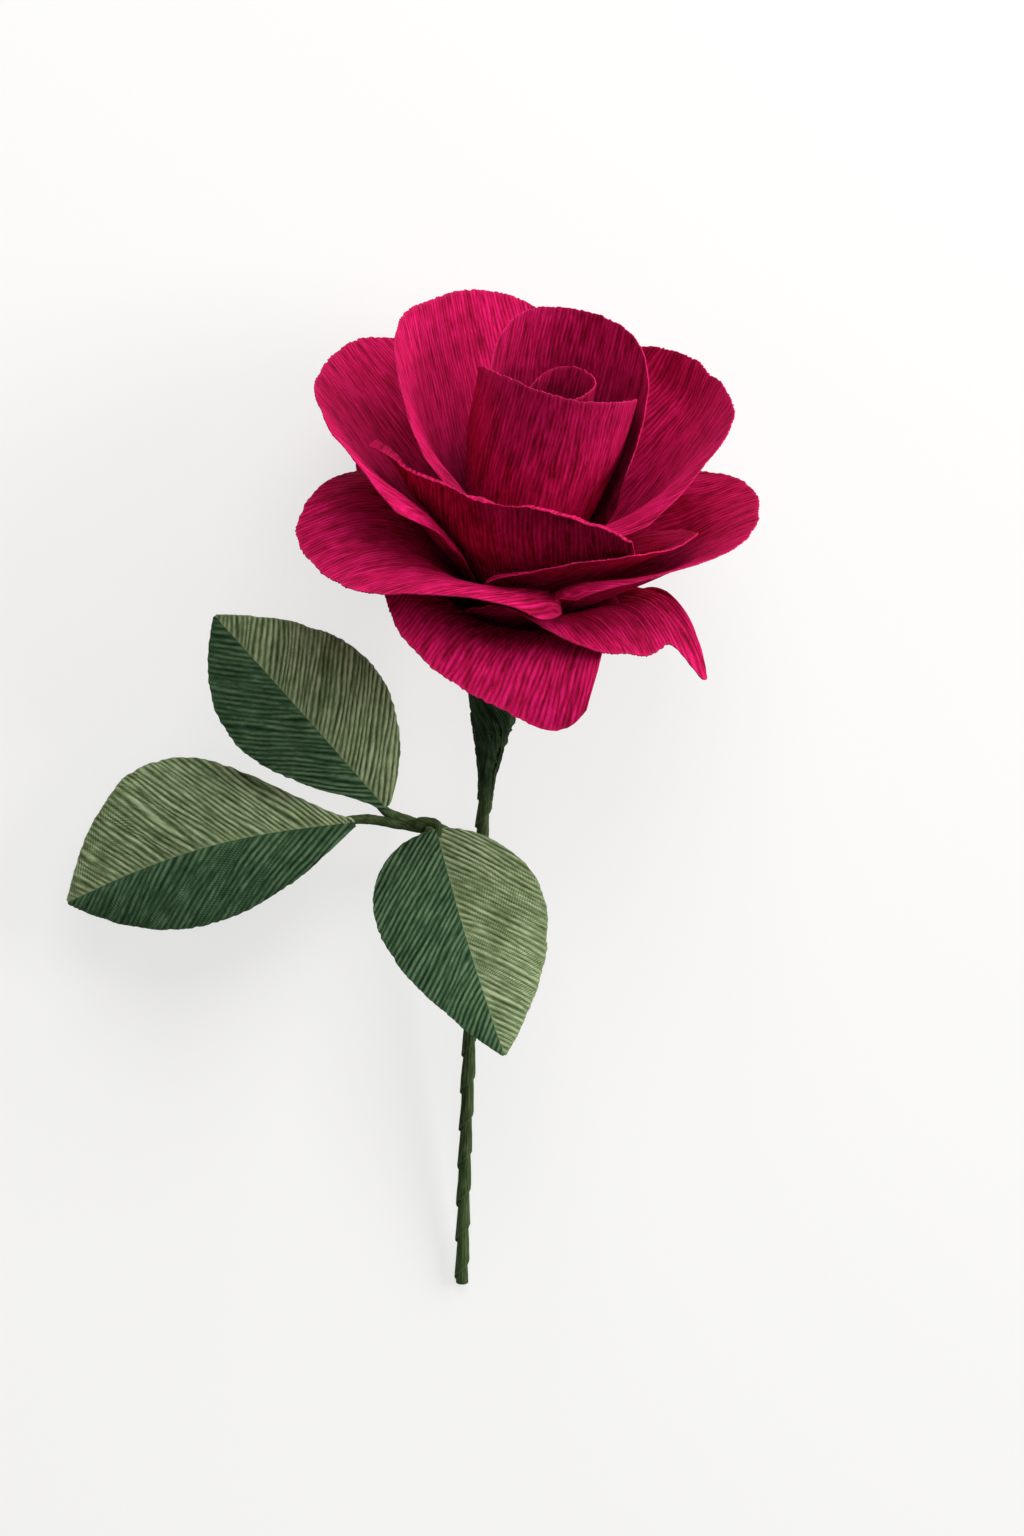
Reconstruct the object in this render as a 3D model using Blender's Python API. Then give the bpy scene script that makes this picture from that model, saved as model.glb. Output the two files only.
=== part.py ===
"""A crepe paper rose on a paper-wrapped wire stem, with a spray of three leaves.

The flower is modelled growing upright, in millimetres: +Z up the stem from its cut end,
+X to the right and -Y to the front. At the end it is laid on its back on a table, as it
comes to rest when nothing holds it. There +Z is up from the table, +Y runs up the stem,
and the origin is on the table under the middle of the flower.
"""

import math
from dataclasses import dataclass

import bmesh
import bpy
import numpy as np
from mathutils.bvhtree import BVHTree

MM = 0.001

# Paper and wire
PAPER = 0.35
STRIP_PAPER = 0.25
GAP = 0.3
STEM_WIRE_RADIUS = 0.7
LEAF_WIRE_RADIUS = 0.45

# Stem: its length from the cut end to the top of the calyx, and how its line bends
STEM_LENGTH = 184.0
LEAN_AT_CUT_END = 1.0
LEAN_AT_BEND = 4.8
LEAN_OF_HEAD = 11.5
NOD_OF_HEAD = 14.0
BEND_LENGTH = 34.0
WIRE_SIDES = 8

# Paper strip wound up the stem, each turn lapping over the turn below
STRIP_WIDTH = 12.5
STRIP_PITCH = 10.5
STRIP_STEPS = 10
STRIP_RISE = STRIP_PAPER + GAP + 0.15

# Calyx and the feet of the petals, which it holds
CALYX_TOP = 4.5
CALYX_LENGTH = 49.0
CALYX_SHAPE = (1.0, 0.98, 0.90, 0.62, 0.28, 0.08, 0.0)
CALYX_LAP = 40.0
CALYX_COLUMNS = 14
FOOT = 11.0
FOOT_WIDTH = 4.6
RING_PITCH = PAPER + GAP

# Leaf spray: the wires of three leaves leave the stem together and part at a node
SPRAY_START = 112.0
SPRAY_NODE = (-12.5, -9.0, 131.0)
SPRAY_TURN = 75.0
SPRAY_ORDER = (2, 0, 1)
TIE_LENGTH = 9.0

# Resolution of one petal and of half a leaf
PETAL_COLUMNS = 10
FOOT_ROWS = (0, 0.5, 1)
BLADE_ROWS = (0.13, 0.26, 0.39, 0.52, 0.65, 0.78, 0.89, 0.96, 1)
FOOT_SHARE = 0.2
LEAF_COLUMNS = 4
LEAF_ROWS = 10
FINE = 96

# How far a petal looks outward for the sheets inside it, and the air it leaves to them
LOOK_OUT = 14.0
AIR = 0.85
PARTS = 5


@dataclass(frozen=True)
class Leaf:
    """One leaf of two paper halves. Places are in the flower's frame; widths are from the midrib."""

    name: str
    base: tuple
    tip: tuple
    facing: tuple  # roughly where its upper side looks
    left_width: float  # seen from above with the tip away
    right_width: float
    bow: float  # how far the midrib bows to its left
    arch: float  # how far it arches up between base and tip
    fold: float  # how far each half is folded up from flat
    dark_side: int  # which half is cut from the dark paper: 1 for the left, -1 for the right
    neck: float  # how slowly the blade widens from its base: more is narrower there


LEAVES = (
    Leaf("front_leaf", (-6, -14, 131), (11.5, -52, 83), (0.1, -0.75, 0.65), 22, 20, -1.5, 4, 8, -1, 0.62),
    Leaf("upper_leaf", (-19, -10, 135.5), (-61.5, -20, 189), (0.1, -1, 0.3), 17, 21, 0, 3, 8, 1, 0.8),
    Leaf("left_leaf", (-27, -11, 132), (-101, -16, 112), (0, -1, 0.3), 18.5, 24.5, -4, 4, 8, 1, 1.1),
)


@dataclass(frozen=True)
class Petal:
    """One petal. Angles are in degrees, and lists run from the calyx to the rim in equal steps."""

    name: str
    ring: int  # which ring of feet it stands in, counted from the wire
    facing: float  # where it points: 0 to the front, 90 to the right, 180 to the back
    length: float  # from the top of the calyx to the rim, along the middle
    width: float  # across the widest part
    tilt: tuple  # outward lean of the middle line
    cup: tuple  # radius of the curve across it, hollow side to the axis, negative when it bows back
    shoulder: float = 0.5  # how far up the sides run before the rim rounds over, as a share of length
    widest: float = 0.65  # where the full width is reached, as a share of length
    spiral: float = 0.0  # how much closer to the axis the right side runs than the left
    droop: tuple = (0.0, 0.0)  # extra outward bend of the left and the right side
    roll: tuple = (0.0, 0.0, 0.0)  # outward roll of the rim at the left, the top and the right
    roll_length: float = 6.0  # how much of the rim is rolled
    point: tuple = (0.0, 0.0, 0.3)  # where a corner of the rim is drawn out, by how much, and its width
    paired: bool = False  # its sides interleave with the petal before, so it isn't laid outside that one


PETALS = (
    Petal("bud_petal_inner", 1, 100, 72, 54, (2, 12, 6, 2, 0), (5, 7.5, 9, 9.5), spiral=0.35, shoulder=0.78),
    Petal("bud_petal_front", 2, -4, 78, 78, (14, 25, 17, 5, 0), (8.3, 15.3, 19, 19.8), spiral=0.25,
          shoulder=0.85, widest=0.8),
    Petal("bud_petal_back", 2, 176, 84, 84, (12.5, 23, 15, 5, 0), (8.3, 15.2, 18.9, 19.8), spiral=0.25,
          shoulder=0.62, paired=True),
    Petal("middle_petal_left", 3, -125, 85, 93, (16, 33, 33, 28, 28), (12, 24, 40, 52), shoulder=0.6,
          widest=0.55),
    Petal("middle_petal_right", 3, 114, 81, 90, (16, 32, 30, 30, 34), (12, 24, 40, 60), shoulder=0.6,
          widest=0.5),
    Petal("middle_petal_front", 4, -23, 64, 71, (18, 34, 31, 24, 22), (12, 28, 70, 200), shoulder=0.9,
          roll=(100, 100, 60), roll_length=5),
    Petal("outer_petal_front_right", 5, 46, 60, 65, (24, 42, 44, 44, 48), (14, 28, 44, 70), widest=0.55),
    Petal("outer_petal_left", 5, -101, 80, 96, (24, 49, 50, 46, 50), (14, 30, 50, 80), shoulder=0.6),
    Petal("outer_petal_right", 6, 78, 69, 88, (26, 50, 50, 48, 54), (14, 30, 50, 80), widest=0.6),
    Petal("drooping_petal_left", 6, -53, 70, 78, (28, 46, 63, 95, 114), (16, 36, 80, 200), shoulder=0.45,
          widest=0.6, droop=(-4, -8)),
    Petal("back_petal_left", 6, -147, 71, 68, (28, 52, 60, 62, 64), (14, 30, 50, 80)),
    Petal("back_petal_right", 6, 157, 71, 68, (28, 52, 60, 62, 64), (14, 30, 50, 80)),
    Petal("drooping_petal_right", 7, 33, 58, 46, (22, 34, 54, 92, 108), (24, 80, 100, 200), widest=0.45,
          droop=(0, 28), point=(0.9, 24, 0.18)),
    Petal("drooping_petal_front", 7, -15, 57, 61, (26, 40, 74, 106, 118), (20, 50, 80, 200),
          droop=(-14, 40), point=(1.0, 18, 0.35)),
)


def smooth(x):
    """A step from 0 to 1 with soft ends."""
    x = np.clip(x, 0, 1)
    return x * x * (3 - 2 * x)


def at_steps(values, x):
    """The values, spaced evenly over 0 to 1, read at x."""
    return np.interp(x, np.linspace(0, 1, len(values)), values)


def ring_radius(ring):
    return STEM_WIRE_RADIUS + GAP + PAPER / 2 + (ring - 1) * RING_PITCH


def petal_rows(petal, column):
    """The distance of each fine row along the sheet, from the bottom of the foot, in each column."""
    reach = petal.length * (petal.shoulder + (1 - petal.shoulder) * (1 - np.abs(column) ** 3))
    where, how_far, how_wide = petal.point
    reach = reach + how_far * np.exp(-(((column - where) / how_wide) ** 2))
    share = np.linspace(0, 1, FINE + 1)[:, None]
    foot = FOOT * share / FOOT_SHARE
    return np.where(share < FOOT_SHARE, foot, FOOT + reach * (share - FOOT_SHARE) / (1 - FOOT_SHARE)), reach


def petal_middle(petal, t):
    """Distance from the axis, height over the calyx's top and lean of the middle line, at t."""
    fine_t = np.linspace(0, FOOT + 1.5 * petal.length, 600)
    fine_above = np.clip((fine_t - FOOT) / petal.length, 0, 1)
    lean = np.where(fine_t < FOOT, 0, 1) * np.radians(at_steps(petal.tilt, fine_above))
    step = fine_t[1] - fine_t[0]
    mean = (lean[1:] + lean[:-1]) / 2
    out = ring_radius(petal.ring) + np.concatenate([[0], np.cumsum(np.sin(mean))]) * step
    up = -FOOT + np.concatenate([[0], np.cumsum(np.cos(mean))]) * step
    return np.interp(t, fine_t, out), np.interp(t, fine_t, up), np.interp(t, fine_t, lean)


def petal_section(petal, column, above):
    """The curve across the sheet: sideways, inward and its turn, summed from the middle column out."""
    half_foot = min(FOOT_WIDTH, 4.0 * ring_radius(petal.ring)) / 2
    widening = np.sin(np.clip(above / petal.widest, 0, 1) * math.pi / 2) ** 1.5
    across = column[None, :] * (half_foot + (petal.width / 2 - half_foot) * widening)
    curvature = 1 / at_steps((ring_radius(petal.ring),) + petal.cup, np.clip(above, 0, 1))
    turn = curvature * (1 + petal.spiral * np.clip(above * 4, 0, 1) * column[None, :])
    d = np.diff(across, axis=1)
    angle = np.zeros_like(across)
    angle[:, 1:] = np.cumsum(d * (turn[:, 1:] + turn[:, :-1]) / 2, axis=1)
    angle -= angle[:, FINE // 2, None]
    mean = (angle[:, 1:] + angle[:, :-1]) / 2
    x, y = np.zeros_like(across), np.zeros_like(across)
    x[:, 1:] = np.cumsum(d * np.cos(mean), axis=1)
    y[:, 1:] = np.cumsum(d * np.sin(mean), axis=1)
    return x - x[:, FINE // 2, None], y - y[:, FINE // 2, None], angle


def petal_surface(petal):
    """The middle of the petal's sheet in the head's frame, as FINE+1 rows of FINE+1 columns."""
    column = np.sin(np.linspace(-1, 1, FINE + 1) * 1.35) / math.sin(1.35)
    t, reach = petal_rows(petal, column)
    above = np.clip((t - FOOT) / petal.length, 0, 1.5)
    out, up, lean = petal_middle(petal, t)
    x, y, angle = petal_section(petal, column, above)

    facing = math.radians(petal.facing)
    outward = np.array([math.sin(facing), -math.cos(facing), 0.0])
    sideways = np.array([math.cos(facing), math.sin(facing), 0.0])
    upward = np.array([0.0, 0.0, 1.0])
    along = np.sin(lean)[..., None] * outward + np.cos(lean)[..., None] * upward
    inward = -np.cos(lean)[..., None] * outward + np.sin(lean)[..., None] * upward
    points = (out[..., None] * outward + up[..., None] * upward
              + x[..., None] * sideways + y[..., None] * inward)
    face = -np.sin(angle)[..., None] * sideways + np.cos(angle)[..., None] * inward

    # Extra bend of each column: the droop of a side, and the roll of the rim
    u = (column[None, :] + 1) / 2
    droop = np.radians(petal.droop[0] * (1 - u) ** 2 + petal.droop[1] * u ** 2) * np.clip(above, 0, 1)
    roll = np.radians(at_steps(petal.roll, u)) * smooth((t - FOOT - reach) / petal.roll_length + 1)
    bend = (droop + roll)[..., None]
    change = (np.cos(bend) - 1) * along - np.sin(bend) * face
    points[1:] += np.cumsum((change[1:] + change[:-1]) / 2 * np.diff(t, axis=0)[..., None], axis=0)
    return points


def picked(points):
    """The rows and columns of a fine petal surface that its solid is built on."""
    foot = [FOOT_SHARE * r for r in FOOT_ROWS]
    blade = [FOOT_SHARE + (1 - FOOT_SHARE) * r for r in BLADE_ROWS]
    i = np.round(np.array(foot + blade) * FINE).astype(int)
    j = np.round(np.linspace(0, FINE, PETAL_COLUMNS + 1)).astype(int)
    return points[np.ix_(i, j)]


def normals(points):
    """The unit normal of the sheet at each point, to the hollow side."""
    across, along = points[:, 1:] - points[:, :-1], points[1:] - points[:-1]
    normal = np.zeros_like(points)
    normal[:-1, :-1] += np.cross(along[:, :-1], across[:-1])
    normal[:-1, 1:] += np.cross(along[:, 1:], across[:-1])
    normal[1:, :-1] += np.cross(along[:, :-1], across[1:])
    normal[1:, 1:] += np.cross(along[:, 1:], across[1:])
    return normal / np.linalg.norm(normal, axis=2, keepdims=True)


def between(points, parts):
    """The grid with each cell divided evenly."""
    rows, columns = points.shape[:2]
    i = np.linspace(0, rows - 1, (rows - 1) * parts + 1)
    j = np.linspace(0, columns - 1, (columns - 1) * parts + 1)
    i0, j0 = np.minimum(i.astype(int), rows - 2), np.minimum(j.astype(int), columns - 2)
    a, b = (i - i0)[:, None, None], (j - j0)[None, :, None]
    low = points[np.ix_(i0, j0)] * (1 - b) + points[np.ix_(i0, j0 + 1)] * b
    high = points[np.ix_(i0 + 1, j0)] * (1 - b) + points[np.ix_(i0 + 1, j0 + 1)] * b
    return low * (1 - a) + high * a


def away(petal, points):
    """The direction from the inner sheets at each point: from the axis, and down where the petal leans."""
    shares = np.array([0, 0, 0] + list(BLADE_ROWS))
    lean = np.radians(np.minimum(at_steps(petal.tilt, shares), 80))[:, None]
    reach = np.maximum(np.linalg.norm(points[..., :2], axis=2), 0.1)
    return np.dstack([points[..., 0] / reach * np.cos(lean), points[..., 1] / reach * np.cos(lean),
                      np.broadcast_to(-np.sin(lean), reach.shape)])


def air_needed(points, outward, placed):
    """How far each part of a petal must move outward to clear the sheets inside it."""
    samples, directions = between(points, PARTS), between(outward, PARTS)
    directions /= np.linalg.norm(directions, axis=2, keepdims=True)
    need = np.zeros(samples.shape[:2])
    for index in np.ndindex(need.shape):
        start = samples[index] + directions[index] * LOOK_OUT
        for tree in placed:
            hit = tree.ray_cast(start, -directions[index], LOOK_OUT + AIR)
            if hit[0] is not None:
                need[index] = max(need[index], LOOK_OUT + AIR - hit[3])
    return need


def laid_outside(petal, points, placed, left_only=False):
    """The petal moved outward wherever a sheet inside it would touch or cross it."""
    outward = away(petal, points)
    rows, columns = points.shape[:2]
    for _ in range(6):
        need = air_needed(points, outward, placed)
        if left_only:
            need[:, need.shape[1] // 2 + 1:] = 0
        if need.max() < 0.05:
            break
        wide = np.pad(need, PARTS, mode="edge")
        floor = np.zeros((rows, columns))
        for i, j in np.ndindex(floor.shape):
            up = PARTS if i < 2 else 2 * PARTS
            floor[i, j] = wide[i * PARTS:i * PARTS + up + 1, j * PARTS:j * PARTS + 2 * PARTS + 1].max()
        push = floor.copy()
        for _ in range(4):
            around = np.pad(push, 1, mode="edge")
            mean = (around[2:, 1:-1] + around[:-2, 1:-1] + around[1:-1, 2:] + around[1:-1, :-2]) / 4
            push[2:] = np.maximum(floor, mean)[2:]
        points = points + outward * push[..., None]
    return points


def sheet_solid(points, thickness):
    """Corners and triangles of a closed sheet of even thickness about a grid of points."""
    rows, columns = points.shape[:2]
    normal = normals(points)
    front = (points + normal * thickness / 2).reshape(-1, 3)
    back = (points - normal * thickness / 2).reshape(-1, 3)
    count = rows * columns
    index = np.arange(count).reshape(rows, columns)
    faces = []
    for i in range(rows - 1):
        for j in range(columns - 1):
            a, b, c, d = index[i, j], index[i, j + 1], index[i + 1, j + 1], index[i + 1, j]
            faces += [(a, c, b), (a, d, c)]
            faces += [(a + count, b + count, c + count), (a + count, c + count, d + count)]
    border = [*index[0, :-1], *index[:-1, -1], *index[-1, :0:-1], *index[:0:-1, 0]]
    for a, b in zip(border, border[1:] + border[:1]):
        faces += [(a, b, b + count), (a, b + count, a + count)]
    return np.vstack([front, back]), [tuple(int(k) for k in f) for f in faces]


def tree_of(points):
    corners, faces = sheet_solid(points, PAPER)
    return BVHTree.FromPolygons(corners.tolist(), faces)


def head_petals():
    """Each petal's grid in the head's frame, laid one outside the other from the bud outward."""
    grids, trees = {}, []
    for petal in PETALS:
        points = laid_outside(petal, picked(petal_surface(petal)), trees[:-1] if petal.paired else trees)
        if petal.paired:
            points = laid_outside(petal, points, trees[-1:], left_only=True)
            partner = PETALS[len(trees) - 1]
            moved = laid_outside(partner, grids[partner.name], [tree_of(points)], left_only=True)
            grids[partner.name] = moved
            trees[-1] = tree_of(moved)
        grids[petal.name] = points
        trees.append(tree_of(points))
    return grids


def frames_along(path, hint):
    """Two directions across a path at each of its points, kept from twisting."""
    path = np.asarray(path, float)
    ahead = np.gradient(path, axis=0)
    ahead /= np.linalg.norm(ahead, axis=1, keepdims=True)
    first = []
    side = np.asarray(hint, float)
    for direction in ahead:
        side = side - direction * (side @ direction)
        side = side / np.linalg.norm(side)
        first.append(side)
    first = np.array(first)
    return first, np.cross(ahead, first)


def rod(path, radius, sides=WIRE_SIDES, hint=(0, -1, 0)):
    """A round wire along a path, closed at both ends."""
    a, b = frames_along(path, hint)
    corners = []
    for point, u, v in zip(path, a, b):
        for k in range(sides):
            t = 2 * math.pi * k / sides
            corners.append(np.asarray(point) + (u * math.cos(t) + v * math.sin(t)) * radius)
    faces = []
    rings = len(path)
    for i in range(rings - 1):
        for k in range(sides):
            p, q = i * sides + k, i * sides + (k + 1) % sides
            faces += [(p, q, q + sides), (p, q + sides, p + sides)]
    last = (rings - 1) * sides
    faces += [(0, k + 1, k) for k in range(1, sides - 1)]
    faces += [(last, last + k, last + k + 1) for k in range(1, sides - 1)]
    return np.array(corners), faces


def rolled(paths, radii, lap, columns, thickness, hint=(0, 1, 0)):
    """A sheet rolled once round one or more rods lying side by side, and lapped over its own edge."""
    paths = np.asarray(paths, float)
    radii = np.asarray(radii, float)
    a, b = frames_along(paths.mean(axis=0), hint)
    angles = np.radians(np.linspace(360 + lap, 0, columns + 1))
    lift = 1.25 * (thickness + GAP) * smooth((np.degrees(angles) - 360 + 1.5 * lap) / (1.5 * lap))
    grid = np.zeros((paths.shape[1], columns + 1, 3))
    for i, j in np.ndindex(grid.shape[:2]):
        out = a[i] * math.cos(angles[j]) + b[i] * math.sin(angles[j])
        outermost = max(range(len(paths)), key=lambda k: paths[k, i] @ out + radii[k, i])
        grid[i, j] = paths[outermost, i] + out * (radii[outermost, i] + lift[j])
    return sheet_solid(grid, thickness)


def clear_scene():
    for old in list(bpy.data.objects):
        bpy.data.objects.remove(old)


def turned_y(degrees):
    a = math.radians(degrees)
    return np.array([[math.cos(a), 0, math.sin(a)], [0, 1, 0], [-math.sin(a), 0, math.cos(a)]])


def turned_x(degrees):
    a = math.radians(degrees)
    return np.array([[1, 0, 0], [0, math.cos(a), -math.sin(a)], [0, math.sin(a), math.cos(a)]])


def stem_turn(distance):
    """How the stem's line is turned at a distance up from its cut end."""
    lean = np.interp(distance, (0, STEM_LENGTH - BEND_LENGTH, STEM_LENGTH - FOOT),
                     (LEAN_AT_CUT_END, LEAN_AT_BEND, LEAN_OF_HEAD))
    nod = NOD_OF_HEAD * smooth((distance - STEM_LENGTH + BEND_LENGTH) / (BEND_LENGTH - FOOT))
    return turned_y(float(lean)) @ turned_x(float(nod))


def stem_place(distance):
    """A point on the stem's line."""
    steps = np.linspace(0, distance, 121)
    middles = (steps[1:] + steps[:-1]) / 2
    return sum((stem_turn(m) @ np.array([0, 0, 1.0]) for m in middles), np.zeros(3)) * (distance / 120)


def stem_wire():
    bend = STEM_LENGTH - BEND_LENGTH
    distances = list(np.linspace(0, bend, 5)) + list(np.linspace(bend, STEM_LENGTH - 1, 9))[1:]
    return rod([stem_place(d) for d in distances], STEM_WIRE_RADIUS)


def stem_wrap():
    """The strip of paper wound up the wire, which stands out of it a hair at the bottom."""
    top = STEM_LENGTH - FOOT - 1.5
    first = math.ceil((1.0 - STRIP_WIDTH / 2) / STRIP_PITCH * STRIP_STEPS)
    last = math.floor((top - 1.0 + STRIP_WIDTH / 2) / STRIP_PITCH * STRIP_STEPS)
    low_radius = STEM_WIRE_RADIUS + GAP + STRIP_PAPER / 2
    grid = []
    for k in range(first, last + 1):
        middle, angle = STRIP_PITCH * k / STRIP_STEPS, 2 * math.pi * k / STRIP_STEPS
        row = []
        for edge in (-0.5, 0.5):
            along = float(np.clip(middle + edge * STRIP_WIDTH, GAP, top))
            share = (along - middle) / STRIP_WIDTH + 0.5
            radius = low_radius + STRIP_RISE * (1 - share)
            across = np.array([math.sin(angle), -math.cos(angle), 0.0]) * radius
            row.append(stem_place(along) + stem_turn(along) @ across)
        grid.append(row)
    return sheet_solid(np.array(grid), STRIP_PAPER)


def calyx(feet):
    """The paper wrapped round the feet of the petals and down onto the stem."""
    inside = np.vstack([between(points[:4], PARTS).reshape(-1, 3) for points in feet])
    inside = inside[inside[:, 2] < 0.5 - CALYX_TOP]
    widest = np.linalg.norm(inside[:, :2], axis=1).max()
    top = (widest + PAPER + GAP) / math.cos(math.pi / CALYX_COLUMNS)
    bottom = stem_wrap_radius() + GAP + PAPER / 2
    distances = np.linspace(STEM_LENGTH - CALYX_TOP, STEM_LENGTH - CALYX_LENGTH, len(CALYX_SHAPE))
    radii = [bottom + (top - bottom) * share for share in CALYX_SHAPE]
    path = [stem_place(d) for d in distances]
    return rolled([path], [radii], CALYX_LAP, CALYX_COLUMNS, PAPER, hint=(1, 0, 0))


def leaf_axes(leaf):
    """Base, the way to the tip, its length, the leaf's left, and its upper side."""
    base, tip = np.array(leaf.base), np.array(leaf.tip)
    length = np.linalg.norm(tip - base)
    ahead = (tip - base) / length
    up = np.array(leaf.facing) - ahead * (np.array(leaf.facing) @ ahead)
    up /= np.linalg.norm(up)
    return base, ahead, length, np.cross(up, ahead), up


def midrib(leaf, s):
    """Places on the middle line of a leaf, at shares s of its length."""
    base, ahead, length, left, up = leaf_axes(leaf)
    s = np.atleast_1d(s)[:, None]
    swing = np.sin(math.pi * np.clip(s, 0, 1))
    return base + ahead * length * s + left * leaf.bow * swing + up * leaf.arch * swing


def leaf_half(leaf, side):
    """One half of a leaf as a grid: rows from base to tip, columns from the midrib to the edge."""
    base, ahead, length, left, up = leaf_axes(leaf)
    s = np.linspace(0, 1, LEAF_ROWS + 1)
    width = leaf.left_width if side > 0 else leaf.right_width
    shape = s ** leaf.neck * (1 - s) ** 0.85
    half = width * shape / shape.max() + 1.2 * (1 - s) + 0.5 * s
    v = np.linspace(0, 1, LEAF_COLUMNS + 1)
    fold = math.radians(leaf.fold)
    bend = math.radians(14.0)
    middle = midrib(leaf, s)
    grid = np.zeros((LEAF_ROWS + 1, LEAF_COLUMNS + 1, 3))
    for j, share in enumerate(v):
        out = 0.25 + half * share
        rise = np.sin(fold) * out - np.sin(bend) * out * share
        grid[:, j] = middle + side * left * (out * np.cos(fold))[:, None] + up * rise[:, None]
    return grid if side < 0 else grid[:, ::-1]


def leaf_wire(leaf, slot):
    """The wire under a leaf's midrib, down its stalk and beside the other two to the stem."""
    base, ahead, length, left, up = leaf_axes(leaf)
    under = PAPER / 2 + GAP + LEAF_WIRE_RADIUS + 0.35
    blade = [p - up * under for p in midrib(leaf, np.array([0.9, 0.7, 0.5, 0.3, 0.12, -0.04]))]
    along = [p + across_stalk(i, slot) for i, p in enumerate(stalk())]
    corner = along.pop()
    bend = [corner * 0.8 + along[-1] * 0.2, corner * 0.7 + blade[-1] * 0.3]
    return np.array(along + bend + blade[::-1])


def stem_wrap_radius():
    """Outer radius of the wound strip where one turn laps over the next."""
    return STEM_WIRE_RADIUS + GAP + STRIP_PAPER + STRIP_RISE


def stalk_radius():
    """Mean radius of the paper round the three wires."""
    across = (LEAF_WIRE_RADIUS + GAP / 2) / math.cos(math.radians(30)) + LEAF_WIRE_RADIUS
    return across + 1.5 * GAP + STRIP_PAPER / 2


def stalk():
    """The line on which the three leaf wires run together, from beside the stem to the node."""
    beside = stem_wrap_radius() + GAP + 1.25 * (STRIP_PAPER + GAP) + STRIP_PAPER / 2 + stalk_radius()
    away_from_stem = np.array([-0.55, -0.83, 0.0])
    low = stem_place(SPRAY_START) + away_from_stem * beside
    high = stem_place(SPRAY_START + TIE_LENGTH) + away_from_stem * beside
    node = np.array(SPRAY_NODE)
    mid = high * 0.5 + node * 0.5 + np.array([1.0, 0.5, 1.5])
    return [low, high, mid, node]


def spray_wrap():
    """The paper rolled round the three leaf wires, as far as they run together."""
    low, high, mid, node = stalk()
    path = [low, high, mid, mid * 0.35 + node * 0.65]
    return rolled([path], [[stalk_radius()] * 4], 40, 10, STRIP_PAPER)


def spray_tie():
    """The paper wound round the stem and the spray's stalk together, which holds the spray."""
    low, high = stalk()[:2]
    shares = (0.15, 0.5, 0.85)
    beside = [low * (1 - t) + high * t for t in shares]
    stem = [stem_place(SPRAY_START + TIE_LENGTH * t) for t in shares]
    outside = GAP + STRIP_PAPER / 2 + 0.1
    stalk_out = stalk_radius() + STRIP_PAPER / 2 + 1.25 * (STRIP_PAPER + GAP) + outside
    return rolled([stem, beside], [[stem_wrap_radius() + outside] * 3, [stalk_out] * 3], 50, 16, STRIP_PAPER)


def across_stalk(i, slot):
    a, b = frames_along(stalk(), (1, 0, 0))
    angle = math.radians(120 * slot + SPRAY_TURN)
    centre = (LEAF_WIRE_RADIUS + GAP / 2 + 0.05) / math.cos(math.radians(30))
    return (a[i] * math.cos(angle) + b[i] * math.sin(angle)) * centre


def pieces():
    """Every piece by name, as corners in millimetres, triangles and its material."""
    top, turn = stem_place(STEM_LENGTH), stem_turn(STEM_LENGTH)
    grids = head_petals()
    made = {"stem_wire": (stem_wire(), "wire"), "stem_wrap": (stem_wrap(), "stem_paper"),
            "calyx": (calyx(list(grids.values())), "calyx_paper")}
    for name, points in grids.items():
        made[name] = (sheet_solid(points @ turn.T + top, PAPER), "petal_paper")
    for slot, leaf in zip(SPRAY_ORDER, LEAVES):
        for kind, side in (("dark", leaf.dark_side), ("light", -leaf.dark_side)):
            half = sheet_solid(leaf_half(leaf, side), PAPER)
            made[f"{leaf.name}_{kind}_half"] = (half, kind + "_leaf_paper")
        made[leaf.name + "_wire"] = (rod(leaf_wire(leaf, slot), LEAF_WIRE_RADIUS, 6), "wire")
    made["spray_wrap"] = (spray_wrap(), "stem_paper")
    made["spray_tie"] = (spray_tie(), "stem_paper")
    return made


def volume_and_centre(corners, faces):
    a, b, c = (corners[[f[k] for f in faces]] for k in range(3))
    parts = np.einsum("ij,ij->i", a, np.cross(b, c)) / 6
    return parts.sum(), ((a + b + c) / 4 * parts[:, None]).sum(axis=0)


def lying(made):
    """The turn and the shift that lay the upright flower on its back, at rest on a table."""
    weighed = [volume_and_centre(corners, faces) for (corners, faces), _ in made.values()]
    centre = sum(moment for _, moment in weighed) / sum(volume for volume, _ in weighed)
    hull = bmesh.new()
    for (corners, _), _ in made.values():
        for corner in corners:
            hull.verts.new(corner)
    bmesh.ops.convex_hull(hull, input=hull.verts, use_existing_faces=False)
    rests = []
    for face in hull.faces:
        a, b, c = (np.array(v.co) for v in face.verts[:3])
        down = np.cross(b - a, c - a)
        if np.linalg.norm(down) < 1e-9:
            continue
        down /= np.linalg.norm(down)
        if down @ (a - centre) < 0:
            down, b, c = -down, c, b
        under = centre + down * (down @ (a - centre))
        inside = all(np.cross(q - p, under - p) @ down > 0 for p, q in ((a, b), (b, c), (c, a)))
        if inside:
            rests.append((down @ np.array([0, 1.0, 0]), down, a))
    hull.free()
    down, touch = max(rests, key=lambda rest: rest[0])[1:]
    along = np.array([0, 0, 1.0]) - down * down[2]
    along /= np.linalg.norm(along)
    turn = np.array([np.cross(along, -down), along, -down])
    laid = np.vstack([corners for (corners, _), _ in made.values()]) @ turn.T
    middle = (laid.max(axis=0) + laid.min(axis=0)) / 2
    return turn, -np.array([middle[0], middle[1], (turn @ touch)[2]])


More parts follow.
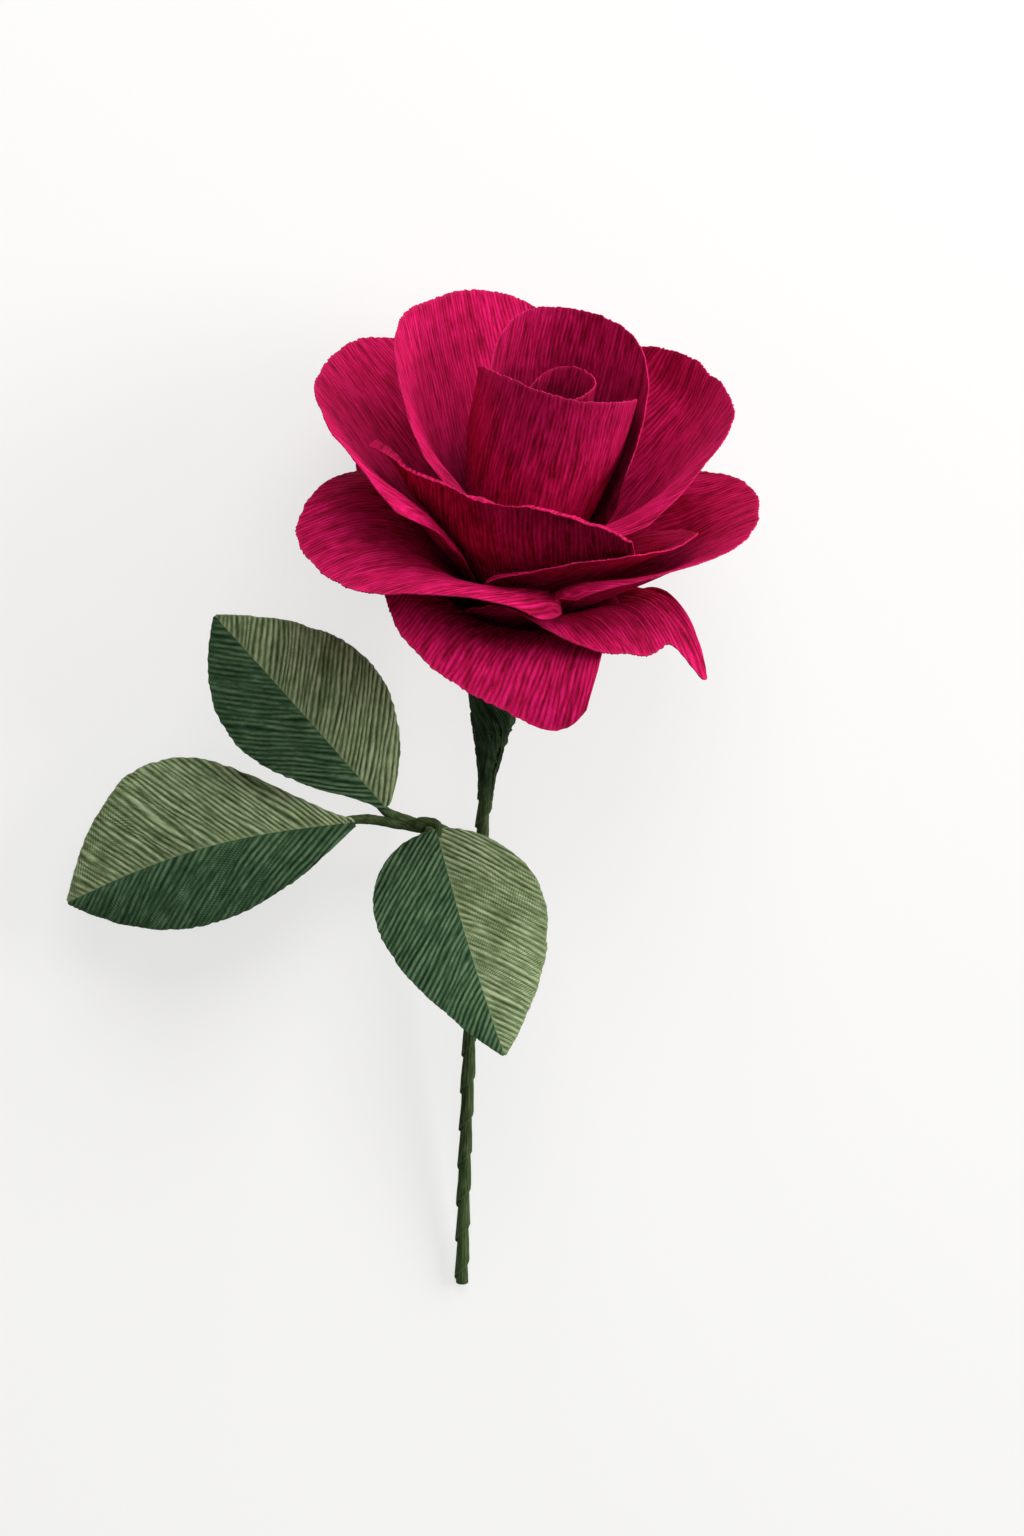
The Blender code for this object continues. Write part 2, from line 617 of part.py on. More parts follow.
COLOURS = {
    "petal_paper": (0.55, 0.012, 0.105, 1.0),
    "dark_leaf_paper": (0.016, 0.048, 0.022, 1.0),
    "light_leaf_paper": (0.105, 0.165, 0.062, 1.0),
    "calyx_paper": (0.012, 0.03, 0.016, 1.0),
    "stem_paper": (0.07, 0.125, 0.04, 1.0),
    "wire": (0.30, 0.30, 0.29, 1.0),
}


def material(name):
    found = bpy.data.materials.get(name)
    if found:
        return found
    made = bpy.data.materials.new(name)
    made.use_nodes = True
    shader = made.node_tree.nodes["Principled BSDF"]
    shader.inputs["Base Color"].default_value = COLOURS[name]
    shader.inputs["Roughness"].default_value = 0.4 if name == "wire" else 0.85
    shader.inputs["Metallic"].default_value = 0.9 if name == "wire" else 0.0
    return made


def main():
    clear_scene()
    made = pieces()
    turn, shift = lying(made)
    for name, ((corners, faces), kind) in made.items():
        mesh = bpy.data.meshes.new(name)
        placed = corners @ turn.T + shift
        mesh.from_pydata((placed * MM).tolist(), [], faces)
        mesh.materials.append(material(kind))
        bpy.context.scene.collection.objects.link(bpy.data.objects.new(name, mesh))


main()
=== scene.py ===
"""Looks of the crepe paper rose: every sheet again as fine crinkled paper, light, floor and camera."""
import math
from dataclasses import dataclass, replace

import bpy
import numpy as np
from mathutils import Matrix
from mathutils.bvhtree import BVHTree


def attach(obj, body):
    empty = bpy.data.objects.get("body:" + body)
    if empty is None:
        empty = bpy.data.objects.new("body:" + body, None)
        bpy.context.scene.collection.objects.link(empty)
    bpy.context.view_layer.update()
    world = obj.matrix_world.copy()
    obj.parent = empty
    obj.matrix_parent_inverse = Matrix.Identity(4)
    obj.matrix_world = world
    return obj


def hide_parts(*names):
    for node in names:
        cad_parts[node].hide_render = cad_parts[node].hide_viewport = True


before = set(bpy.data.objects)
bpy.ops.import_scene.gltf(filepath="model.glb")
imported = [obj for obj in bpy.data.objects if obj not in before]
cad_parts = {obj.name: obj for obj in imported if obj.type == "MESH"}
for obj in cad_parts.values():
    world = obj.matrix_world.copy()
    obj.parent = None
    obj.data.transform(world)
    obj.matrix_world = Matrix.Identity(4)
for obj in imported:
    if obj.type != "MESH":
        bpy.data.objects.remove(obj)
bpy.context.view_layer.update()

MM = 0.001

# Paper and wire
PAPER = 0.35
STRIP_PAPER = 0.25
GAP = 0.3
STEM_WIRE_RADIUS = 0.7
LEAF_WIRE_RADIUS = 0.45

# Stem: its length from the cut end to the top of the calyx, and how its line bends
STEM_LENGTH = 184.0
LEAN_AT_CUT_END = 1.0
LEAN_AT_BEND = 4.8
LEAN_OF_HEAD = 11.5
NOD_OF_HEAD = 14.0
BEND_LENGTH = 34.0

# Paper strip wound up the stem, each turn lapping over the turn below
STRIP_WIDTH = 12.5
STRIP_PITCH = 10.5
STRIP_RISE = STRIP_PAPER + GAP + 0.15
STRIP_MEAN_RADIUS = 1.7

# Calyx and the feet of the petals, which it holds
CALYX_TOP = 4.5
CALYX_LENGTH = 49.0
CALYX_SHAPE = (1.0, 0.98, 0.90, 0.62, 0.28, 0.08, 0.0)
CALYX_LAP = 40.0
FOOT = 11.0
FOOT_WIDTH = 4.6
RING_PITCH = PAPER + GAP

# Leaf spray: the wires of three leaves leave the stem together and part at a node
SPRAY_START = 112.0
SPRAY_NODE = (-12.5, -9.0, 131.0)
SPRAY_TURN = 75.0
SPRAY_ORDER = (2, 0, 1)
SPRAY_SIDE = (-0.55, -0.83, 0.0)
SPRAY_SWAY = (1.0, 0.5, 1.5)
TIE_LENGTH = 9.0

# How far a rolled sheet's lap is lifted over its own edge, in thicknesses of paper with its gap
LAP_LIFT = 1.25

# A petal's plain form: its columns, its rows as shares of foot and blade, and the foot's share of all rows
PETAL_COLUMNS = 10
FOOT_ROWS = (0, 0.5, 1)
BLADE_ROWS = (0.13, 0.26, 0.39, 0.52, 0.65, 0.78, 0.89, 0.96, 1)
FOOT_SHARE = 0.2

# The finer surface that they are picked from: its steps, and how much its columns crowd at the sides
FINE = 96
CROWDING = 1.35

# How far a petal looks outward for the sheets inside it, and the air it leaves to them
LOOK_OUT = 14.0
AIR = 0.85
PARTS = 5


@dataclass(frozen=True)
class Leaf:
    """One leaf of two paper halves. Places are in the flower's frame; widths are from the midrib."""

    name: str
    base: tuple
    tip: tuple
    facing: tuple  # roughly where its upper side looks
    left_width: float  # seen from above with the tip away
    right_width: float
    bow: float  # how far the midrib bows to its left
    arch: float  # how far it arches up between base and tip
    fold: float  # how far each half is folded up from flat
    dark_side: int  # which half has the darker green: 1 for the left, -1 for the right
    dark_neck: float  # how slowly the dark half widens from its base: more is narrower there
    light_neck: float  # the same for the light half, because the halves aren't cut alike


LEAVES = (
    Leaf("front_leaf", (-6, -14, 131), (11.5, -52, 83), (0.1, -0.75, 0.65), 22, 20, -1.5, 4, 8, -1,
         dark_neck=0.52, light_neck=0.66),
    Leaf("upper_leaf", (-19, -10, 135.5), (-61.5, -20, 189), (0.1, -1, 0.3), 17, 21, 0, 3, 8, 1,
         dark_neck=1.45, light_neck=0.85),
    Leaf("left_leaf", (-27, -11, 132), (-101, -16, 112), (0, -1, 0.3), 18.5, 24.5, -4, 4, 8, 1,
         dark_neck=1.15, light_neck=1.5),
)


@dataclass(frozen=True)
class Petal:
    """One petal. Angles are in degrees, and lists run from the calyx to the rim in equal steps."""

    name: str
    ring: int  # which ring of feet it stands in, counted from the wire
    facing: float  # where it points: 0 to the front, 90 to the right, 180 to the back
    length: float  # from the top of the calyx to the rim, along the middle
    width: float  # across the widest part
    tilt: tuple  # outward lean of the middle line
    cup: tuple  # radius of the curve across it, hollow side to the axis, negative when it bows back
    shoulder: float = 0.5  # how far up the sides run before the rim rounds over, as a share of length
    widest: float = 0.65  # where the full width is reached, as a share of length
    spiral: float = 0.0  # how much closer to the axis the right side runs than the left
    droop: tuple = (0.0, 0.0)  # extra outward bend of the left and the right side
    roll: tuple = (0.0, 0.0, 0.0)  # outward roll of the rim at the left, the top and the right
    roll_length: float = 6.0  # how much of the rim is rolled
    point: tuple = (0.0, 0.0, 0.3)  # where a corner of the rim is drawn out, by how much, and its width
    paired: bool = False  # its sides interleave with the petal before, so it isn't laid outside that one


PETALS = (
    Petal("bud_petal_inner", 1, 100, 72, 54, (2, 12, 6, 2, 0), (5, 7.5, 9, 9.5), spiral=0.35, shoulder=0.78),
    Petal("bud_petal_front", 2, -4, 78, 78, (14, 25, 17, 5, 0), (8.3, 15.3, 19, 19.8), spiral=0.25,
          shoulder=0.85, widest=0.8),
    Petal("bud_petal_back", 2, 176, 84, 84, (12.5, 23, 15, 5, 0), (8.3, 15.2, 18.9, 19.8), spiral=0.25,
          shoulder=0.62, paired=True),
    Petal("middle_petal_left", 3, -125, 85, 93, (16, 33, 33, 28, 28), (12, 24, 40, 52), shoulder=0.6,
          widest=0.55),
    Petal("middle_petal_right", 3, 114, 81, 90, (16, 32, 30, 30, 34), (12, 24, 40, 60), shoulder=0.6,
          widest=0.5),
    Petal("middle_petal_front", 4, -23, 64, 71, (18, 34, 31, 24, 22), (12, 28, 70, 200), shoulder=0.9,
          roll=(100, 100, 60), roll_length=5),
    Petal("outer_petal_front_right", 5, 46, 60, 65, (24, 42, 44, 44, 48), (14, 28, 44, 70), widest=0.55),
    Petal("outer_petal_left", 5, -101, 80, 96, (24, 49, 50, 46, 50), (14, 30, 50, 80), shoulder=0.6),
    Petal("outer_petal_right", 6, 78, 69, 88, (26, 50, 50, 48, 54), (14, 30, 50, 80), widest=0.6),
    Petal("drooping_petal_left", 6, -53, 70, 78, (28, 46, 63, 95, 114), (16, 36, 80, 200), shoulder=0.45,
          widest=0.6, droop=(-4, -8)),
    Petal("back_petal_left", 6, -147, 71, 68, (28, 52, 60, 62, 64), (14, 30, 50, 80)),
    Petal("back_petal_right", 6, 157, 71, 68, (28, 52, 60, 62, 64), (14, 30, 50, 80)),
    Petal("drooping_petal_right", 7, 33, 58, 46, (22, 34, 54, 92, 108), (24, 80, 100, 200), widest=0.45,
          droop=(0, 28), point=(0.9, 24, 0.18)),
    Petal("drooping_petal_front", 7, -15, 57, 61, (26, 40, 74, 106, 118), (20, 50, 80, 200),
          droop=(-14, 40), point=(1.0, 18, 0.35)),
)


def smooth(x):
    """A step from 0 to 1 with soft ends."""
    x = np.clip(x, 0, 1)
    return x * x * (3 - 2 * x)


def at_steps(values, x):
    """The values, spaced evenly over 0 to 1, read at x."""
    return np.interp(x, np.linspace(0, 1, len(values)), values)


def ring_radius(ring):
    """How far from the axis the feet of one ring stand."""
    return STEM_WIRE_RADIUS + GAP + PAPER / 2 + (ring - 1) * RING_PITCH


# Places across and along the finer surface, and which of its rows and columns the plain form has
SURFACE_COLUMNS = np.sin(np.linspace(-1, 1, FINE + 1) * CROWDING) / math.sin(CROWDING)
SURFACE_SHARES = np.linspace(0, 1, FINE + 1)
FOOT_SHARES = [FOOT_SHARE * r for r in FOOT_ROWS]
BLADE_SHARES = [FOOT_SHARE + (1 - FOOT_SHARE) * r for r in BLADE_ROWS]
ROW_NUMBERS = np.round(np.array(FOOT_SHARES + BLADE_SHARES) * FINE).astype(int)
COLUMN_NUMBERS = np.round(np.linspace(0, FINE, PETAL_COLUMNS + 1)).astype(int)


def petal_rows(petal, column, share, trim):
    """The distance of each row along the sheet, from the bottom of the foot, in each column."""
    reach = petal.length * (petal.shoulder + (1 - petal.shoulder) * (1 - np.abs(column) ** 3))
    where, how_far, how_wide = petal.point
    reach = reach + how_far * np.exp(-(((column - where) / how_wide) ** 2)) + trim
    share = share[:, None]
    foot = FOOT * share / FOOT_SHARE
    return np.where(share < FOOT_SHARE, foot, FOOT + reach * (share - FOOT_SHARE) / (1 - FOOT_SHARE)), reach


def petal_middle(petal, t):
    """Distance from the axis, height over the calyx's top and lean of the middle line, at t."""
    fine_t = np.linspace(0, FOOT + 1.5 * petal.length, 600)
    fine_above = np.clip((fine_t - FOOT) / petal.length, 0, 1)
    lean = np.where(fine_t < FOOT, 0, 1) * np.radians(at_steps(petal.tilt, fine_above))
    step = fine_t[1] - fine_t[0]
    mean = (lean[1:] + lean[:-1]) / 2
    out = ring_radius(petal.ring) + np.concatenate([[0], np.cumsum(np.sin(mean))]) * step
    up = -FOOT + np.concatenate([[0], np.cumsum(np.cos(mean))]) * step
    return np.interp(t, fine_t, out), np.interp(t, fine_t, up), np.interp(t, fine_t, lean)


def petal_section(petal, column, above):
    """The curve across the sheet: sideways, inward, its turn, and the place across, from the middle out."""
    half_foot = min(FOOT_WIDTH, 4.0 * ring_radius(petal.ring)) / 2
    widening = np.sin(np.clip(above / petal.widest, 0, 1) * math.pi / 2) ** 1.5
    across = column[None, :] * (half_foot + (petal.width / 2 - half_foot) * widening)
    curvature = 1 / at_steps((ring_radius(petal.ring),) + petal.cup, np.clip(above, 0, 1))
    turn = curvature * (1 + petal.spiral * np.clip(above * 4, 0, 1) * column[None, :])
    d = np.diff(across, axis=1)
    angle = np.zeros_like(across)
    angle[:, 1:] = np.cumsum(d * (turn[:, 1:] + turn[:, :-1]) / 2, axis=1)
    middle = len(column) // 2
    angle -= angle[:, middle, None]
    mean = (angle[:, 1:] + angle[:, :-1]) / 2
    x, y = np.zeros_like(across), np.zeros_like(across)
    x[:, 1:] = np.cumsum(d * np.cos(mean), axis=1)
    y[:, 1:] = np.cumsum(d * np.sin(mean), axis=1)
    return x - x[:, middle, None], y - y[:, middle, None], angle, across


def petal_surface(petal, column=SURFACE_COLUMNS, share=SURFACE_SHARES, trim=0.0):
    """The petal's sheet in the head's frame, with the places along and across it."""
    t, reach = petal_rows(petal, column, share, trim)
    above = np.clip((t - FOOT) / petal.length, 0, 1.5)
    out, up, lean = petal_middle(petal, t)
    x, y, angle, across = petal_section(petal, column, above)

    facing = math.radians(petal.facing)
    outward = np.array([math.sin(facing), -math.cos(facing), 0.0])
    sideways = np.array([math.cos(facing), math.sin(facing), 0.0])
    upward = np.array([0.0, 0.0, 1.0])
    along = np.sin(lean)[..., None] * outward + np.cos(lean)[..., None] * upward
    inward = -np.cos(lean)[..., None] * outward + np.sin(lean)[..., None] * upward
    points = (out[..., None] * outward + up[..., None] * upward
              + x[..., None] * sideways + y[..., None] * inward)
    face = -np.sin(angle)[..., None] * sideways + np.cos(angle)[..., None] * inward

    # Extra bend of each column: the droop of a side, and the roll of the rim
    u = (column[None, :] + 1) / 2
    droop = np.radians(petal.droop[0] * (1 - u) ** 2 + petal.droop[1] * u ** 2) * np.clip(above, 0, 1)
    roll = np.radians(at_steps(petal.roll, u)) * smooth((t - FOOT - reach) / petal.roll_length + 1)
    bend = (droop + roll)[..., None]
    change = (np.cos(bend) - 1) * along - np.sin(bend) * face
    points[1:] += np.cumsum((change[1:] + change[:-1]) / 2 * np.diff(t, axis=0)[..., None], axis=0)
    return points, t, across


def picked(points):
    """The rows and columns of a petal's finer surface that its plain form has."""
    return points[np.ix_(ROW_NUMBERS, COLUMN_NUMBERS)]


def normals(points):
    """The unit normal of the sheet at each point, to the hollow side."""
    across, along = points[:, 1:] - points[:, :-1], points[1:] - points[:-1]
    normal = np.zeros_like(points)
    normal[:-1, :-1] += np.cross(along[:, :-1], across[:-1])
    normal[:-1, 1:] += np.cross(along[:, 1:], across[:-1])
    normal[1:, :-1] += np.cross(along[:, :-1], across[1:])
    normal[1:, 1:] += np.cross(along[:, 1:], across[1:])
    return normal / np.linalg.norm(normal, axis=2, keepdims=True)


def between(points, parts):
    """The grid with each cell divided evenly."""
    rows, columns = points.shape[:2]
    i = np.linspace(0, rows - 1, (rows - 1) * parts + 1)
    j = np.linspace(0, columns - 1, (columns - 1) * parts + 1)
    i0, j0 = np.minimum(i.astype(int), rows - 2), np.minimum(j.astype(int), columns - 2)
    a, b = (i - i0)[:, None, None], (j - j0)[None, :, None]
    low = points[np.ix_(i0, j0)] * (1 - b) + points[np.ix_(i0, j0 + 1)] * b
    high = points[np.ix_(i0 + 1, j0)] * (1 - b) + points[np.ix_(i0 + 1, j0 + 1)] * b
    return low * (1 - a) + high * a


def away(petal, points):
    """The direction from the inner sheets at each point: from the axis, and down where the petal leans."""
    shares = np.array([0, 0, 0] + list(BLADE_ROWS))
    lean = np.radians(np.minimum(at_steps(petal.tilt, shares), 80))[:, None]
    reach = np.maximum(np.linalg.norm(points[..., :2], axis=2), 0.1)
    return np.dstack([points[..., 0] / reach * np.cos(lean), points[..., 1] / reach * np.cos(lean),
                      np.broadcast_to(-np.sin(lean), reach.shape)])


def air_needed(points, outward, placed):
    """How far each part of a petal must move outward to clear the sheets inside it."""
    samples, directions = between(points, PARTS), between(outward, PARTS)
    directions /= np.linalg.norm(directions, axis=2, keepdims=True)
    need = np.zeros(samples.shape[:2])
    for index in np.ndindex(need.shape):
        start = samples[index] + directions[index] * LOOK_OUT
        for tree in placed:
            hit = tree.ray_cast(start, -directions[index], LOOK_OUT + AIR)
            if hit[0] is not None:
                need[index] = max(need[index], LOOK_OUT + AIR - hit[3])
    return need


def laid_outside(petal, points, placed, left_only=False):
    """The petal moved outward wherever a sheet inside it would touch or cross it."""
    outward = away(petal, points)
    rows, columns = points.shape[:2]
    for _ in range(6):
        need = air_needed(points, outward, placed)
        if left_only:
            need[:, need.shape[1] // 2 + 1:] = 0
        if need.max() < 0.05:
            break
        wide = np.pad(need, PARTS, mode="edge")
        floor = np.zeros((rows, columns))
        for i, j in np.ndindex(floor.shape):
            up = PARTS if i < 2 else 2 * PARTS
            floor[i, j] = wide[i * PARTS:i * PARTS + up + 1, j * PARTS:j * PARTS + 2 * PARTS + 1].max()
        push = floor.copy()
        for _ in range(4):
            around = np.pad(push, 1, mode="edge")
            mean = (around[2:, 1:-1] + around[:-2, 1:-1] + around[1:-1, 2:] + around[1:-1, :-2]) / 4
            push[2:] = np.maximum(floor, mean)[2:]
        points = points + outward * push[..., None]
    return points


def sheet_solid(points, thickness):
    """Corners and triangles of a closed sheet of even thickness about a grid of points."""
    rows, columns = points.shape[:2]
    normal = normals(points)
    front = (points + normal * thickness / 2).reshape(-1, 3)
    back = (points - normal * thickness / 2).reshape(-1, 3)
    count = rows * columns
    index = np.arange(count).reshape(rows, columns)
    faces = []
    for i in range(rows - 1):
        for j in range(columns - 1):
            a, b, c, d = index[i, j], index[i, j + 1], index[i + 1, j + 1], index[i + 1, j]
            faces += [(a, c, b), (a, d, c)]
            faces += [(a + count, b + count, c + count), (a + count, c + count, d + count)]
    border = [*index[0, :-1], *index[:-1, -1], *index[-1, :0:-1], *index[:0:-1, 0]]
    for a, b in zip(border, border[1:] + border[:1]):
        faces += [(a, b, b + count), (a, b + count, a + count)]
    return np.vstack([front, back]), [tuple(int(k) for k in f) for f in faces]


def tree_of(points):
    """A petal's sheet in the form that rays are cast on."""
    corners, faces = sheet_solid(points, PAPER)
    return BVHTree.FromPolygons(corners.tolist(), faces)


def head_petals():
    """Each petal's grid in the head's frame, laid one outside the other from the bud outward."""
    grids, trees = {}, []
    for petal in PETALS:
        points = laid_outside(petal, picked(petal_surface(petal)[0]), trees[:-1] if petal.paired else trees)
        if petal.paired:
            points = laid_outside(petal, points, trees[-1:], left_only=True)
            partner = PETALS[len(trees) - 1]
            moved = laid_outside(partner, grids[partner.name], [tree_of(points)], left_only=True)
            grids[partner.name] = moved
            trees[-1] = tree_of(moved)
        grids[petal.name] = points
        trees.append(tree_of(points))
    return grids


def frames_along(path, hint):
    """Two directions across a path at each of its points, kept from twisting."""
    path = np.asarray(path, float)
    ahead = np.gradient(path, axis=0)
    ahead /= np.linalg.norm(ahead, axis=1, keepdims=True)
    first = []
    side = np.asarray(hint, float)
    for direction in ahead:
        side = side - direction * (side @ direction)
        side = side / np.linalg.norm(side)
        first.append(side)
    first = np.array(first)
    return first, np.cross(ahead, first)


def turned_y(degrees):
    """A turn about y."""
    a = math.radians(degrees)
    return np.array([[math.cos(a), 0, math.sin(a)], [0, 1, 0], [-math.sin(a), 0, math.cos(a)]])


def turned_x(degrees):
    """A turn about x."""
    a = math.radians(degrees)
    return np.array([[1, 0, 0], [0, math.cos(a), -math.sin(a)], [0, math.sin(a), math.cos(a)]])


def stem_turn(distance):
    """How the stem's line is turned at a distance up from its cut end."""
    lean = np.interp(distance, (0, STEM_LENGTH - BEND_LENGTH, STEM_LENGTH - FOOT),
                     (LEAN_AT_CUT_END, LEAN_AT_BEND, LEAN_OF_HEAD))
    nod = NOD_OF_HEAD * smooth((distance - STEM_LENGTH + BEND_LENGTH) / (BEND_LENGTH - FOOT))
    return turned_y(float(lean)) @ turned_x(float(nod))


def stem_place(distance):
    """A point on the stem's line."""
    steps = np.linspace(0, distance, 121)
    middles = (steps[1:] + steps[:-1]) / 2
    return sum((stem_turn(m) @ np.array([0, 0, 1.0]) for m in middles), np.zeros(3)) * (distance / 120)


def calyx_widest(feet):
    """Radius of the calyx's mouth, which clears the feet of all the petals."""
    inside = np.vstack([between(points[:4], PARTS).reshape(-1, 3) for points in feet])
    inside = inside[inside[:, 2] < 0.5 - CALYX_TOP]
    widest = np.linalg.norm(inside[:, :2], axis=1).max()
    return widest + PAPER + GAP


def calyx_bottom():
    """Radius of the calyx's lower end, round the stem's wrap."""
    return stem_wrap_radius() + GAP + PAPER / 2


def leaf_axes(leaf):
    """Base, the way to the tip, its length, the leaf's left, and its upper side."""
    base, tip = np.array(leaf.base), np.array(leaf.tip)
    length = np.linalg.norm(tip - base)
    ahead = (tip - base) / length
    up = np.array(leaf.facing) - ahead * (np.array(leaf.facing) @ ahead)
    up /= np.linalg.norm(up)
    return base, ahead, length, np.cross(up, ahead), up


def midrib(leaf, s):
    """Places on the middle line of a leaf, at shares s of its length."""
    base, ahead, length, left, up = leaf_axes(leaf)
    s = np.atleast_1d(s)[:, None]
    swing = np.sin(math.pi * np.clip(s, 0, 1))
    return base + ahead * length * s + left * leaf.bow * swing + up * leaf.arch * swing


def leaf_wire(leaf, slot):
    """The wire under a leaf's midrib, down its stalk and beside the other two to the stem."""
    base, ahead, length, left, up = leaf_axes(leaf)
    under = PAPER / 2 + GAP + LEAF_WIRE_RADIUS + 0.35
    blade = [p - up * under for p in midrib(leaf, np.array([0.9, 0.7, 0.5, 0.3, 0.12, -0.04]))]
    along = [p + across_stalk(i, slot) for i, p in enumerate(stalk())]
    corner = along.pop()
    bend = [corner * 0.8 + along[-1] * 0.2, corner * 0.7 + blade[-1] * 0.3]
    return np.array(along + bend + blade[::-1])


def stem_wrap_radius():
    """Outer radius of the wound strip where one turn laps over the next."""
    return STEM_WIRE_RADIUS + GAP + STRIP_PAPER + STRIP_RISE


def stalk_radius():
    """Mean radius of the paper round the three wires."""
    across = (LEAF_WIRE_RADIUS + GAP / 2) / math.cos(math.radians(30)) + LEAF_WIRE_RADIUS
    return across + 1.5 * GAP + STRIP_PAPER / 2


def stalk():
    """The line on which the three leaf wires run together, from beside the stem to the node."""
    beside = stem_wrap_radius() + GAP + LAP_LIFT * (STRIP_PAPER + GAP) + STRIP_PAPER / 2 + stalk_radius()
    away_from_stem = np.array(SPRAY_SIDE)
    low = stem_place(SPRAY_START) + away_from_stem * beside
    high = stem_place(SPRAY_START + TIE_LENGTH) + away_from_stem * beside
    node = np.array(SPRAY_NODE)
    mid = high * 0.5 + node * 0.5 + np.array(SPRAY_SWAY)
    return [low, high, mid, node]


def across_stalk(i, slot):
    """From the stalk's line at its point i to one of the three wires round it."""
    a, b = frames_along(stalk(), (1, 0, 0))
    angle = math.radians(120 * slot + SPRAY_TURN)
    centre = (LEAF_WIRE_RADIUS + GAP / 2 + 0.05) / math.cos(math.radians(30))
    return (a[i] * math.cos(angle) + b[i] * math.sin(angle)) * centre


def volume_and_centre(corners, faces):
    """The volume of a closed solid, and its middle times the volume."""
    a, b, c = (corners[[f[k] for f in faces]] for k in range(3))
    parts = np.einsum("ij,ij->i", a, np.cross(b, c)) / 6
    return parts.sum(), ((a + b + c) / 4 * parts[:, None]).sum(axis=0)


# Fine paper, made on the shapes above: its thickness, the units of its grain map to the millimetre, and
# the bend in degrees from which an edge is drawn sharp
SKIN = 0.3
MAP_SCALE = 0.01
SHARP_EDGE = 60.0
TABLE_SIZE = 256

# How closely the fine sheets are sampled: steps in millimetres, and counts
PETAL_COLUMN_STEP = 0.46
PETAL_ROW_STEP = 2.65
LEAF_ROWS = 161
LEAF_COLUMNS = 45
STEPS_IN_A_TURN = 44
STRIP_COLUMNS = 13
STEM_STEPS = 184
STALK_STEP = 0.7
STALK_COLUMNS = 19

# Heights of the ridges of the crepe
PETAL_RIDGE = 0.105
LEAF_RIDGE = 0.19
STRIP_RIDGE = 0.09
ROLL_RIDGE = 0.10

# The three lowest petals are cut a little fuller than their plain forms
FULLER = {"drooping_petal_front": {"widest": 0.15, "facing": -22.0, "droop": (-14, 50)},
          "drooping_petal_right": {"widest": 0.27},
          "drooping_petal_left": {"widest": 0.42}}

# Painted shade that darkens a petal towards its foot, where its hollow is deep: how far up it is full, where
# it ends, and how much of it there is
PAINTED_FOOT_SHADE = {"bud_petal_inner": (60.0, 88.0, 1.0), "bud_petal_back": (46.0, 92.0, 0.75),
          "bud_petal_front": (12.0, 34.0, 0.5), "middle_petal_left": (36.0, 71.0, 0.95)}
PAINTED_FOOT_SHADE_ELSEWHERE = (12.0, 46.0, 0.55)

# Leaves: how far the ridges of a half lean from straight out towards the tip, and how far its side bends down
LEAF_GRAIN = {"dark": 48.0, "light": 40.0}
LEAF_CURL = 14.0

# Twisted paper round a leaf's wire: its radii at the points of the wire's route, and at its pointed end
TWIST_RADII = (0.5, 0.5, 0.55, 0.95, 1.15, 1.1, 0.75, 0.62, 0.58, 0.55, 0.35)
TWIST_END = 0.08


def lattice(seed):
    """A square table of random values from -1 to 1, the same each time for one seed."""
    return np.random.default_rng(seed).uniform(-1, 1, (TABLE_SIZE, TABLE_SIZE))


def noise(x, y, seed):
    """Smooth random values from -1 to 1 that change over about one unit of x and of y."""
    table = lattice(seed)
    i, j = np.floor(x).astype(int), np.floor(y).astype(int)
    a, b = x - i, y - j
    a, b = a * a * (3 - 2 * a), b * b * (3 - 2 * b)
    i, j, i2, j2 = (k % TABLE_SIZE for k in (i, j, i + 1, j + 1))
    low = table[i, j] * (1 - a) + table[i2, j] * a
    high = table[i, j2] * (1 - a) + table[i2, j2] * a
    return low * (1 - b) + high * b


def creases(x, y, seed):
    """As noise, but with sharp crests."""
    return 1 - 3.2 * np.abs(noise(x, y, seed))


def crepe(g, t, seed, pitch=1.0, run=9.0, uneven=0.34):
    """Height of the paper's ridges, about 1 at a crest and -1 between: g runs across them and t along.

    Pitch is their spacing, run how far one goes before it shifts, and uneven how irregular they are.
    """
    shift = 0.55 * noise(g / (2.2 * pitch), t / run, seed + 7)
    drift = 0.8 * noise(g / (9 * pitch), t / (2.5 * run), seed + 8)
    x = g / pitch + shift + drift
    even = np.cos(2 * math.pi * x)
    strength = 0.82 + 0.25 * noise(g / (1.6 * pitch), t / (0.45 * run), seed + 1)
    loose = creases(x + 0.35 * noise(g / pitch, t / (0.3 * run), seed + 9), t / (0.7 * run), seed)
    return ((1 - uneven) * strength * even + uneven * loose
            + 0.26 * noise(g / (0.6 * pitch), t / (0.3 * run), seed + 2))


def curve_through(knots, values, x):
    """The values at the knots read at x along a smooth curve."""
    slopes = np.gradient(values, knots, axis=0)
    k = np.clip(np.searchsorted(knots, x, side="right") - 1, 0, len(knots) - 2)
    h = knots[k + 1] - knots[k]
    s = (x - knots[k]) / h
    shape = (-1,) + (1,) * (values.ndim - 1)
    s, h = s.reshape(shape), h.reshape(shape)
    return ((1 + 2 * s) * (1 - s) ** 2 * values[k] + s * (1 - s) ** 2 * h * slopes[k]
            + s * s * (3 - 2 * s) * values[k + 1] + s * s * (s - 1) * h * slopes[k + 1])


def distances_along(path):
    """The distance of each point of a path from its start."""
    return np.concatenate([[0], np.cumsum(np.linalg.norm(np.diff(path, axis=0), axis=1))])


